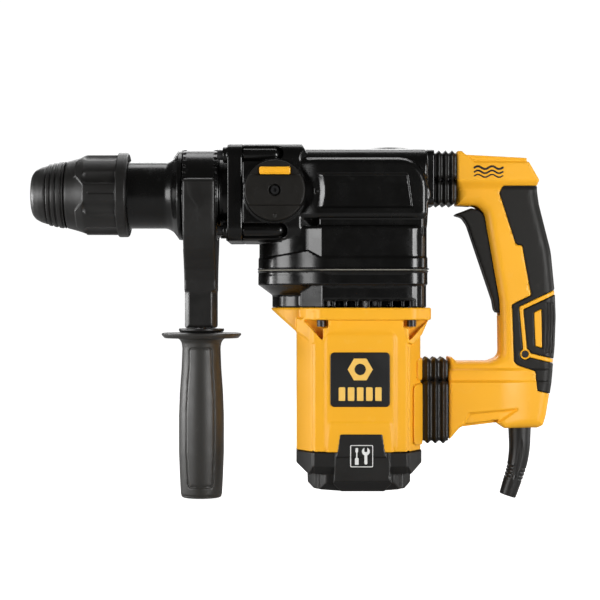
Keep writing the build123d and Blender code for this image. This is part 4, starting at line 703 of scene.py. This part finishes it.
# ---------------------------------------------------------------- mode knob
g = Grid((179, -55, -26), (233, -28, 28), 0.5)
x, y, z = g.x, g.y, g.z
depth = -y
knob = both(disc(x, z, KX, KZ, 25.5), slab(depth, 43.0, 51.6), 1.4)
bar = both(both(disc(x, z, KX, KZ, 25.2), slab(z, KZ - 12.7, KZ + 12.7), 0.8), slab(depth, 45, 54.1), 1.0)
knob = either(knob, bar, 0.6)
window = rect(x, z, KX - 13.3, KX + 13.3, KZ + 12.9, KZ + 19.7, 1)
knob = less(knob, both(window, slab(depth, 44.6, 60)), 0.3)
knob = less(knob, both(disc(x, z, KX, KZ, 5), slab(depth, 50, 60)), 0.4)
knob = either(knob, both(disc(x, z, KX, KZ, 8), slab(depth, 33, 46)))
knob = either(knob, both(disc(x, z, KX + 4.5, KZ, 2.5), slab(depth, 29, 34)))
knob = less(knob, both(disc(x, z, KX, KZ, 2), slab(depth, 38, 51)))
# moulded signs: a hammer on one side, a drill bit on the other, and a pointer below
hammer = either(rect(x, z, KX - 19.4, KX - 14.6, KZ + 1.2, KZ + 3.4, 0.4),
                rect(x, z, KX - 17.6, KX - 16.4, KZ - 3.6, KZ + 1.6, 0.3))
bit = either(rect(x, z, KX + 15.4, KX + 16.8, KZ - 3.4, KZ + 3.4, 0.4), path(x, z, [
    (KX + 14, KZ - 2.4), (KX + 18.2, KZ - 0.8), (KX + 14, KZ + 0.8), (KX + 18.2, KZ + 2.4)]) - 0.5)
pointer = polygon(x, z, [(KX - 1.3, KZ - 20), (KX + 1.3, KZ - 20), (KX, KZ - 23.2)])
knob = either(knob, both(either(hammer, bit), slab(depth, 50, 54.5), 0.15))
knob = either(knob, both(pointer, slab(depth, 50, 52.1), 0.15))
piece("mode_knob_body", g, both(knob, depth - 54.2), "knob", ["mode_knob"], COVER_RUBBER)

g = Grid((193, -55, 13), (220, -46, 22), 0.4)
x, y, z = g.x, g.y, g.z
button = both(rect(x, z, KX - 13, KX + 13, KZ + 13.1, KZ + 19.5, 1.4), slab(-y, 47, 54), 0.7)
button = button + notch(np.abs(z - KZ - 15), 0.7, 0.4) * (-y > 52) * (np.abs(x - KX) < 10)
piece("knob_button", g, button, "lock_button", ["knob_lock_button"], YELLOW)

# ---------------------------------------------------------------- side handle
g = Grid((127, -45.5, -116), (158, 45.5, 40), 0.6)
x, y, z = g.x, g.y, g.z
rho = np.hypot(y, z)
BAND_R, BAND_MIDDLE, BAND_TEETH = 39.4, 142.3, 30
ring = both(both(rho - BAND_R, 37.35 - rho), slab(x, 127.5, 157.1), 0.5)
angle = np.arctan2(z, y)
pitch = math.pi / BAND_TEETH
tooth = np.abs((angle + pitch) % (2 * pitch) - pitch) * BAND_R
teeth = both(tooth - 1.5, np.maximum(np.abs(np.abs(x - BAND_MIDDLE) - 14.3) - 2.1, 0) - 0.1)
ring = both(ring, -both(both(teeth, 38.2 - rho), -z - 4), 0.3)
piece("side_handle_clamp", g, ring, "side_handle", ["side_handle_band"], CASTING)

bow = [(-45, 12), (-45, -14), (-43.6, -24), (-40, -36), (-34, -47), (-27, -56), (-21, -65), (-17.6, -74),
       (-16, -84), (-16, -115)]
outline = bow + [(-a, b) for a, b in reversed(bow)]
arm = both(polygon(y, z, fillet(outline, 4)), slab(x, 128.3, 156), 2.4)
arm = less(arm, rho - 39.5, 0.4)
# the saddle cheeks are pressed in beside the stem along a curved line
cheek = polygon(x, z, fillet([
    (120, 20), (133, 20), (133, 9, 5), (134.6, -2, 8), (141.6, -12, 6), (142.4, -40, 2), (141, -48, 1),
    (120, -48)], 0.5))
arm = arm + 0.25 * ramp(-cheek, -0.6, 1.6) * (np.abs(y) > 16)
corner = polygon(x, np.abs(y), fillet([
    (128.3, 0), (128.3, 11.6, 1), (132.6, 16.1, 1), (151.6, 16.1, 1), (156, 11.6, 1), (156, 0)], 1))
arm = both(arm, corner - 40 * ramp(z, -84, -70), 0.8)
# the foot of the stem tapers towards the grip
tapered = np.maximum(np.abs(x - ARM_X) - 9.5, np.abs(y) - 11)
arm = both(arm, np.maximum(-115.1 - z, -0.7 * z - 0.714 * 116 + 0.714 * tapered), 0.8)
arm = less(arm, both(disc(x, y, ARM_X, 0, 4.3), slab(z, -120, -30)))
arm = less(arm, both(rect(x, y, 135.2, 149.2, -6, 6), slab(z, -48, -30)))
piece("side_handle_stem", g, arm, "side_handle", ["side_handle_arm"], NYLON)

g = Grid((121, -21, -119.5), (163, 21, -114.5), 0.4)
washer = g.turned_z(fillet([
    (4.1, -118.5), (18.4, -118.5, 0.6), (19.5, -117, 0.6), (19.5, -115.3, 0.4), (4.1, -115.3)], 0.2), ARM_X)
piece("side_grip_washer", g, washer, "side_grip", ["grip_washer"], NYLON)

g = Grid((106, -36, -262), (178, 36, -118), 0.6)
x, y, z = g.x, g.y, g.z
grip = g.turned_z(fillet([
    (4.3, -118.8, 0), (31.4, -118.8, 0.8), (34.6, -119.4, 1.2), (34.2, -121, 1), (31.8, -123.6, 1.2),
    (19.4, -124, 3), (17.2, -127.5, 4), (16.5, -132, 6), (17.2, -150, 30), (18.8, -172, 30),
    (19.5, -190, 20), (19.5, -222, 30), (18.6, -245, 20), (17.9, -257, 3), (17.6, -260, 0.8),
    (16, -261, 0.6), (0, -261, 0), (0, -156, 0), (4.3, -156, 0)], 0.4), ARM_X)
# sunk panel on each side of the grip, with a groove round it
panel = polygon(x, z, fillet([
    (132.8, -132.5), (151.6, -132.5), (151.8, -148), (153.6, -172), (154, -190), (153.8, -222), (152.6, -251),
    (131.8, -251), (130.4, -222), (130.2, -190), (131, -172), (132.6, -148)], 2.2))
line = notch(np.abs(panel), 0.8, 0.8) * (np.abs(y) > 6)
grip = grip + line + 0.35 * ramp(-panel, 0, 1.2) * (np.abs(y) > 6)
grip = grip + notch(np.abs(z + 259.2), 0.6, 0.5)
grip = less(grip, both(hexagon(x, y, ARM_X, 0, 6.5), slab(z, -140, -128)))
piece("side_grip_rubber", g, grip, "side_grip", ["side_grip"], GRIP_RUBBER)

# ---------------------------------------------------------------- rear handle
HANDLE = fillet([
    (361, -9.8, 1), (361, 37, 1.2), (365.4, 37, 1.5), (369, 33.8, 3), (421, 31, 3), (432, 11.8, 1.2),
    (430.6, 6.7, 3), (432.9, -9, 20), (437.4, -27, 30), (443, -49, 60), (446.6, -86, 60),
    (447.3, -105, 60), (446.4, -130, 60), (443.6, -160, 60), (438.9, -190, 30), (436.2, -198.6, 4),
    (431, -200.8, 3), (401.5, -200.8, 4), (396, -195.9, 4), (364, -199.8, 2), (354, -211.4, 1),
    (354, -139, 1), (357.6, -139, 1.5), (361.5, -142.6, 3), (389, -142.6, 4), (398.6, -139, 9),
    (398.2, -107, 20), (397.6, -91, 20), (384.4, -16, 14), (377.5, -10.6, 5)], 1, steps=8)
OVERMOULD = fillet([
    (401, 6.9), (397.8, 1), (411.6, -41.8), (413.4, -43.6), (417.4, -44.2), (425, -86.6), (408.8, -94.4),
    (410.4, -143.4), (413.4, -146.6), (428.6, -151.6), (430.2, -168.4), (443, -171.4), (462, -173),
    (462, 6.9)], 1.4)
g = Grid((353, -24, -213), (448, 24, 38), 0.6)
x, y, z = g.x, g.y, g.z
ay = np.abs(y)
outline = polygon(x, z, HANDLE)
# half width: a slim grip between the wider upper block and lower arm
lower = 3.0 * (1 - ramp(z, -151.5, -148.5)) + 3.0 * (1 - ramp(z, -161.5, -159))
fade = 1 - 0.65 * ramp(x, 396, 424)
half = 17 + 6 * ramp(z, 3, 12.4) + lower * fade
rounding = 9.0 - 6.2 * ramp(z, 0, 13) - 5.6 * (1 - ramp(z, -158, -138)) * (1 - ramp(x, 385, 425))
handle = both(outline, ay - half, rounding)
recess = polygon(x, z, fillet([(371, -186.4), (417, -182.6), (399, -195), (364, -200.5)], 1.2))
handle = handle + 2.6 * ramp(-recess, -0.2, 2.2) * (ay > 14)
trench = polygon(x, z, fillet([(369, 32.6), (424, 29.6), (422, 26.2), (376, 26.2)], 1))
handle = handle + 1.6 * ramp(-trench, -0.2, 1.6) * (ay > 14)
# openings for the trigger and the cable boot, and the hollow inside
slot = both(polygon(x, z, [
    (373.6, -12.4), (375, -6), (399, -6), (413, -91), (413, -104), (393, -104), (380, -40)]), ay - 10.4)
boot_hole = both(disc(x, y, BOOT_X, 0, 10.4), slab(z, -205, -193))
cavity = both(outline, ay - half) + 5.5
# yellow lines that run through the soft cover down to a screw
SCREW_EYE = (420, -137)
soft = polygon(x, z, OVERMOULD)
strokes = np.minimum(path(x, z, [(470, -72.5), (416.6, -97.6), (420.2, -137)]) - 1.8,
                     path(x, z, [SCREW_EYE, (470, -149.2)]) - 1.8)
strokes = np.minimum(strokes, disc(x, z, *SCREW_EYE, 4.6))
strokes = np.minimum(strokes, polygon(x, z, fillet(
    [(427.4, -101.4), (434, -98.4), (434.6, -131.8), (428.6, -130)], 0.6)))
soft = np.maximum(soft, -strokes)
shell = both(less(less(handle + 0.45, slot, 0.4), boot_hole, 0.3), -cavity)
# screw columns: position, side of the head, half width there
for sx, sz, side, h in ((*SCREW_EYE, -1, 17), (412, 20, 1, 23), (378, -170, 1, 23), (428, -182, 1, 23)):
    column = both(disc(x, z, sx, sz, 4.5), ay - h + 4.5)
    shell = either(shell, column)
    shell = less(shell, both(disc(x, z, sx, sz, 3.1), (h - 4) - side * y), 0.3)
# holes that slide on the guide rods
for sx, sz in ((360, 16), (353, -180)):
    shell = less(shell, both(np.hypot(ay - 12, z - sz) - 4.05, slab(x, sx, sx + 8)))
shell = less(shell, both(soft - 0.1, -(handle + 3.1)), 0.2)
pin = both(disc(x, z, *PIVOT, 2.5), ay - 12)
shell = either(shell, pin)
piece("handle_shell", g, shell, "rear_handle", ["handle_shell_left", "handle_shell_right"],
      YELLOW)

# soft cover: slightly proud of the shell, with finger grooves along the back
cover = both(handle, soft + 0.12, 0.7)
cover = both(cover, -(handle + 3.0))
rib = np.minimum(np.abs(outline + 3.2), np.minimum(np.abs(outline + 5.6), np.abs(outline + 8.0)))
near_back = (x > 434) * (z < -93) * (z > -136)
cover = cover + notch(rib, 0.7, 0.9) * near_back * (ay > 3)
cover = both(less(cover, slot, 0.3), -boot_hole)
piece("handle_soft_cover", g, cover, "rear_handle", ["handle_overmould"], COVER_RUBBER)

# wave sign printed on the upper block
g = Grid((373, -23.2, 12), (403, -22.2, 26), 0.25)
x, y, z = g.x, g.y, g.z
wave = np.full(g.shape, 50, np.float32)
for level, width in ((22, 0.9), (18.4, 0.75), (15, 0.6)):
    points = [(376 + 2 * s, level + 1.3 * math.sin(s * 1.05)) for s in range(13)]
    wave = np.minimum(wave, path(x, z, points) - width)
wave = both(wave, slab(y, -23.0, -22.4))
piece("handle_wave_sign", g, wave, "rear_handle", [], INK)

# ---------------------------------------------------------------- trigger
g = Grid((358, -13, -104), (410, 13, -10), 0.5)
x, y, z = g.x, g.y, g.z
ay = np.abs(y)
side = polygon(x, z, fillet([
    (359, -17.4, 0.8), (367, -14.6, 20), (374.5, -11.6, 4), (380, -12.8, 4), (387, -17.2, 5), (400, -90, 6),
    (404, -102, 2), (396.5, -101.6, 1), (394.8, -99, 1), (393.4, -91, 6), (371.4, -26, 12),
    (367, -19.6, 6)], 1))
lever = both(side, ay - 10, 2.0)
lever = either(lever, both(disc(x, z, *PIVOT, 6), ay - 10, 1))
lever = less(lever, both(disc(x, z, *PIVOT, 2.55), ay - 12.5))
piece("trigger_lever", g, lever, "trigger", ["trigger"], COVER_RUBBER)

# ---------------------------------------------------------------- cable boot
g = Grid((398, -13, -262), (430, 13, -190), 0.45)
x, y, z = g.x, g.y, g.z
# straight root, a bend in the middle, straight end; travel is the length along its middle line
ROOT, LENGTH = 16.7, 65.7
BEND = math.radians(18)
BEND_R = 30.0 / BEND
cx, cz = BOOT_X - BEND_R, -212.0
turn = np.arctan2(-(z - cz), x - cx)
arc = np.clip(turn, 0, BEND)
px, pz = cx + BEND_R * np.cos(arc), cz - BEND_R * np.sin(arc)
ax, az = -np.sin(arc), -np.cos(arc)
along = (x - px) * ax + (z - pz) * az
across = (x - px) * (-az) + (z - pz) * ax
travel = ROOT + arc * BEND_R + along
radial = np.hypot(across, y)
radius = 10.0 - 2.75 * np.clip(travel / LENGTH, 0, 1)
boot = both(radial - radius, slab(travel, 0.0, LENGTH), 0.8)
ribs = notch(np.abs((travel - 38) % 3.2 - 1.6), 0.7, 0.7) * (travel > 38) * (travel < 52)
boot = boot + ribs * ramp(np.abs(across), 2.5, 4.5)
# sunk lens shape on each side
lens = both(np.hypot(across / 2.6, (travel - 33) / 20) - 1, np.abs(radial - 9) - 3)
boot = boot + 0.8 * ramp(-lens, 0, 0.35)
boot = either(boot, both(radial - 12, slab(travel, -3.9, 0.0), 0.5))
boot = both(boot, 4.75 - radial, 0.4)
piece("cable_boot_rubber", g, boot, "rear_handle", ["cable_boot"], NYLON)


# ---------------------------------------------------------------- bellows
def folds(x, x0, x1, count, depth):
    """Depth of the valleys between the rounded ridges."""
    phase = (x - x0) / (x1 - x0) * count
    return depth * np.abs(np.cos(math.pi * phase)) ** 1.6


def bellows(name, x0, x1, upper, lower, count):
    """Folded sleeve round two joined rectangles, each given as y0, y1, z0, z1."""
    top, bottom = max(upper[3], upper[2]), lower[2]
    wide = max(upper[1], lower[1])
    g = Grid((x0, -wide, bottom), (x1, wide, top), 0.5)
    x, y, z = g.x, g.y, g.z
    skin = either(rect(y, z, *upper, 6), rect(y, z, *lower, 6), 0.4)
    valley = folds(x, x0 + 0.8, x1 - 0.8, count, 2.5)
    sleeve = both(skin + valley, slab(x, x0, x1), 0.5)
    sleeve = less(sleeve, skin + valley + 2.0)
    return piece(name, g, sleeve, None, [], NYLON)


low = bellows("handle_bellows_low", 332.2, 353.8, (-19, 19, -161.5, -139.6), (-23, 23, -213.4, -158), 3)
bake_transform(low)
high = bellows("handle_bellows_high", 342.2, 360.8, (-23, 23, 10.6, 37.2), (-21, 21, -10, 13), 3)
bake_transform(high)
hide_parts("handle_bellows")

# ---------------------------------------------------------------- floor, lights and camera
scene = bpy.context.scene
scene.view_settings.view_transform = "Standard"
FLOOR_Z = CAD_BOX[0][2] - 0.0005
FLOOR_HALF = 6

floor_mesh = bpy.data.meshes.new("studio_floor")
floor_mesh.from_pydata([(sx * FLOOR_HALF, sy * FLOOR_HALF, FLOOR_Z)
                        for sx, sy in ((-1, -1), (1, -1), (1, 1), (-1, 1))], [], [(0, 1, 2, 3)])
floor = bpy.data.objects.new("studio_floor", floor_mesh)
scene.collection.objects.link(floor)
pale = bpy.data.materials.new("pale_floor")
pale.use_nodes = True
pale_shader = pale.node_tree.nodes["Principled BSDF"]
pale_shader.inputs["Base Color"].default_value = (0.4, 0.4, 0.4, 1)
pale_shader.inputs["Roughness"].default_value = 0.9
pale_shader.inputs["Specular IOR Level"].default_value = 0.0
pale_shader.inputs["Emission Color"].default_value = (1, 1, 1, 1)
# the floor looks white without lighting the underside of the tool as strongly
pale_ray = pale.node_tree.nodes.new("ShaderNodeLightPath")
pale_glow = pale.node_tree.nodes.new("ShaderNodeMapRange")
pale_glow.inputs["To Min"].default_value = 0.05
pale_glow.inputs["To Max"].default_value = 1.0
pale.node_tree.links.new(pale_ray.outputs["Is Camera Ray"], pale_glow.inputs["Value"])
pale.node_tree.links.new(pale_glow.outputs["Result"], pale_shader.inputs["Emission Strength"])
floor_mesh.materials.append(pale)

# the same for the surroundings: white to the camera, dim as a light
world = bpy.data.worlds.new("studio")
scene.world = world
world.use_nodes = True
tree = world.node_tree
background = tree.nodes["Background"]
background.inputs["Color"].default_value = (1, 1, 1, 1)
background.inputs["Strength"].default_value = 0.06
bright = tree.nodes.new("ShaderNodeBackground")
bright.inputs["Color"].default_value = (1, 1, 1, 1)
bright.inputs["Strength"].default_value = 1.05
seen = tree.nodes.new("ShaderNodeLightPath")
blend = tree.nodes.new("ShaderNodeMixShader")
tree.links.new(seen.outputs["Is Camera Ray"], blend.inputs[0])
tree.links.new(background.outputs[0], blend.inputs[1])
tree.links.new(bright.outputs[0], blend.inputs[2])
tree.links.new(blend.outputs[0], tree.nodes["World Output"].inputs["Surface"])


def softbox(name, place, aim, width, height, power):
    """Rectangular area light in metres and watts."""
    light = bpy.data.lights.new(name, "AREA")
    light.shape = "RECTANGLE"
    light.size, light.size_y = width, height
    light.energy = power
    obj = bpy.data.objects.new(name, light)
    scene.collection.objects.link(obj)
    obj.location = place
    obj.rotation_euler = (Vector(aim) - Vector(place)).to_track_quat("-Z", "Y").to_euler()


CENTRE = Vector((0.2274, 0.0, -0.0907))
# the side boxes end not far above the tool, so that its flat top mirrors less of them in end and rear views
softbox("key_left", (-1.15, 0.22, -0.17), CENTRE, 0.55, 0.64, 17)
softbox("side_right", (1.6, 0.3, -0.17), CENTRE, 0.5, 0.64, 6)
softbox("front_left", (-0.95, -0.75, -0.08), CENTRE, 0.8, 0.75, 15.5)
softbox("fill_right", (1.15, -1.0, -0.08), CENTRE, 0.5, 0.75, 17)
softbox("top", (0.22, 0.6, 1.3), CENTRE, 1.4, 0.5, 8)
softbox("back", (0.22, 1.3, 0.75), CENTRE, 1.4, 0.8, 13)

# a long lens straight on; VIEW_WIDTH is the width of the picture at the middle of the tool, in metres
FOCAL, SENSOR = 100.0, 36.0
VIEW_WIDTH = 0.519
camera_data = bpy.data.cameras.new("camera")
camera_data.lens = FOCAL
camera_data.sensor_width = SENSOR
camera_data.clip_end = 50.0
camera = bpy.data.objects.new("camera", camera_data)
scene.collection.objects.link(camera)
camera.location = (CENTRE.x, -VIEW_WIDTH * FOCAL / SENSOR, CENTRE.z)
camera.rotation_euler = (math.radians(90), 0, 0)
scene.camera = camera
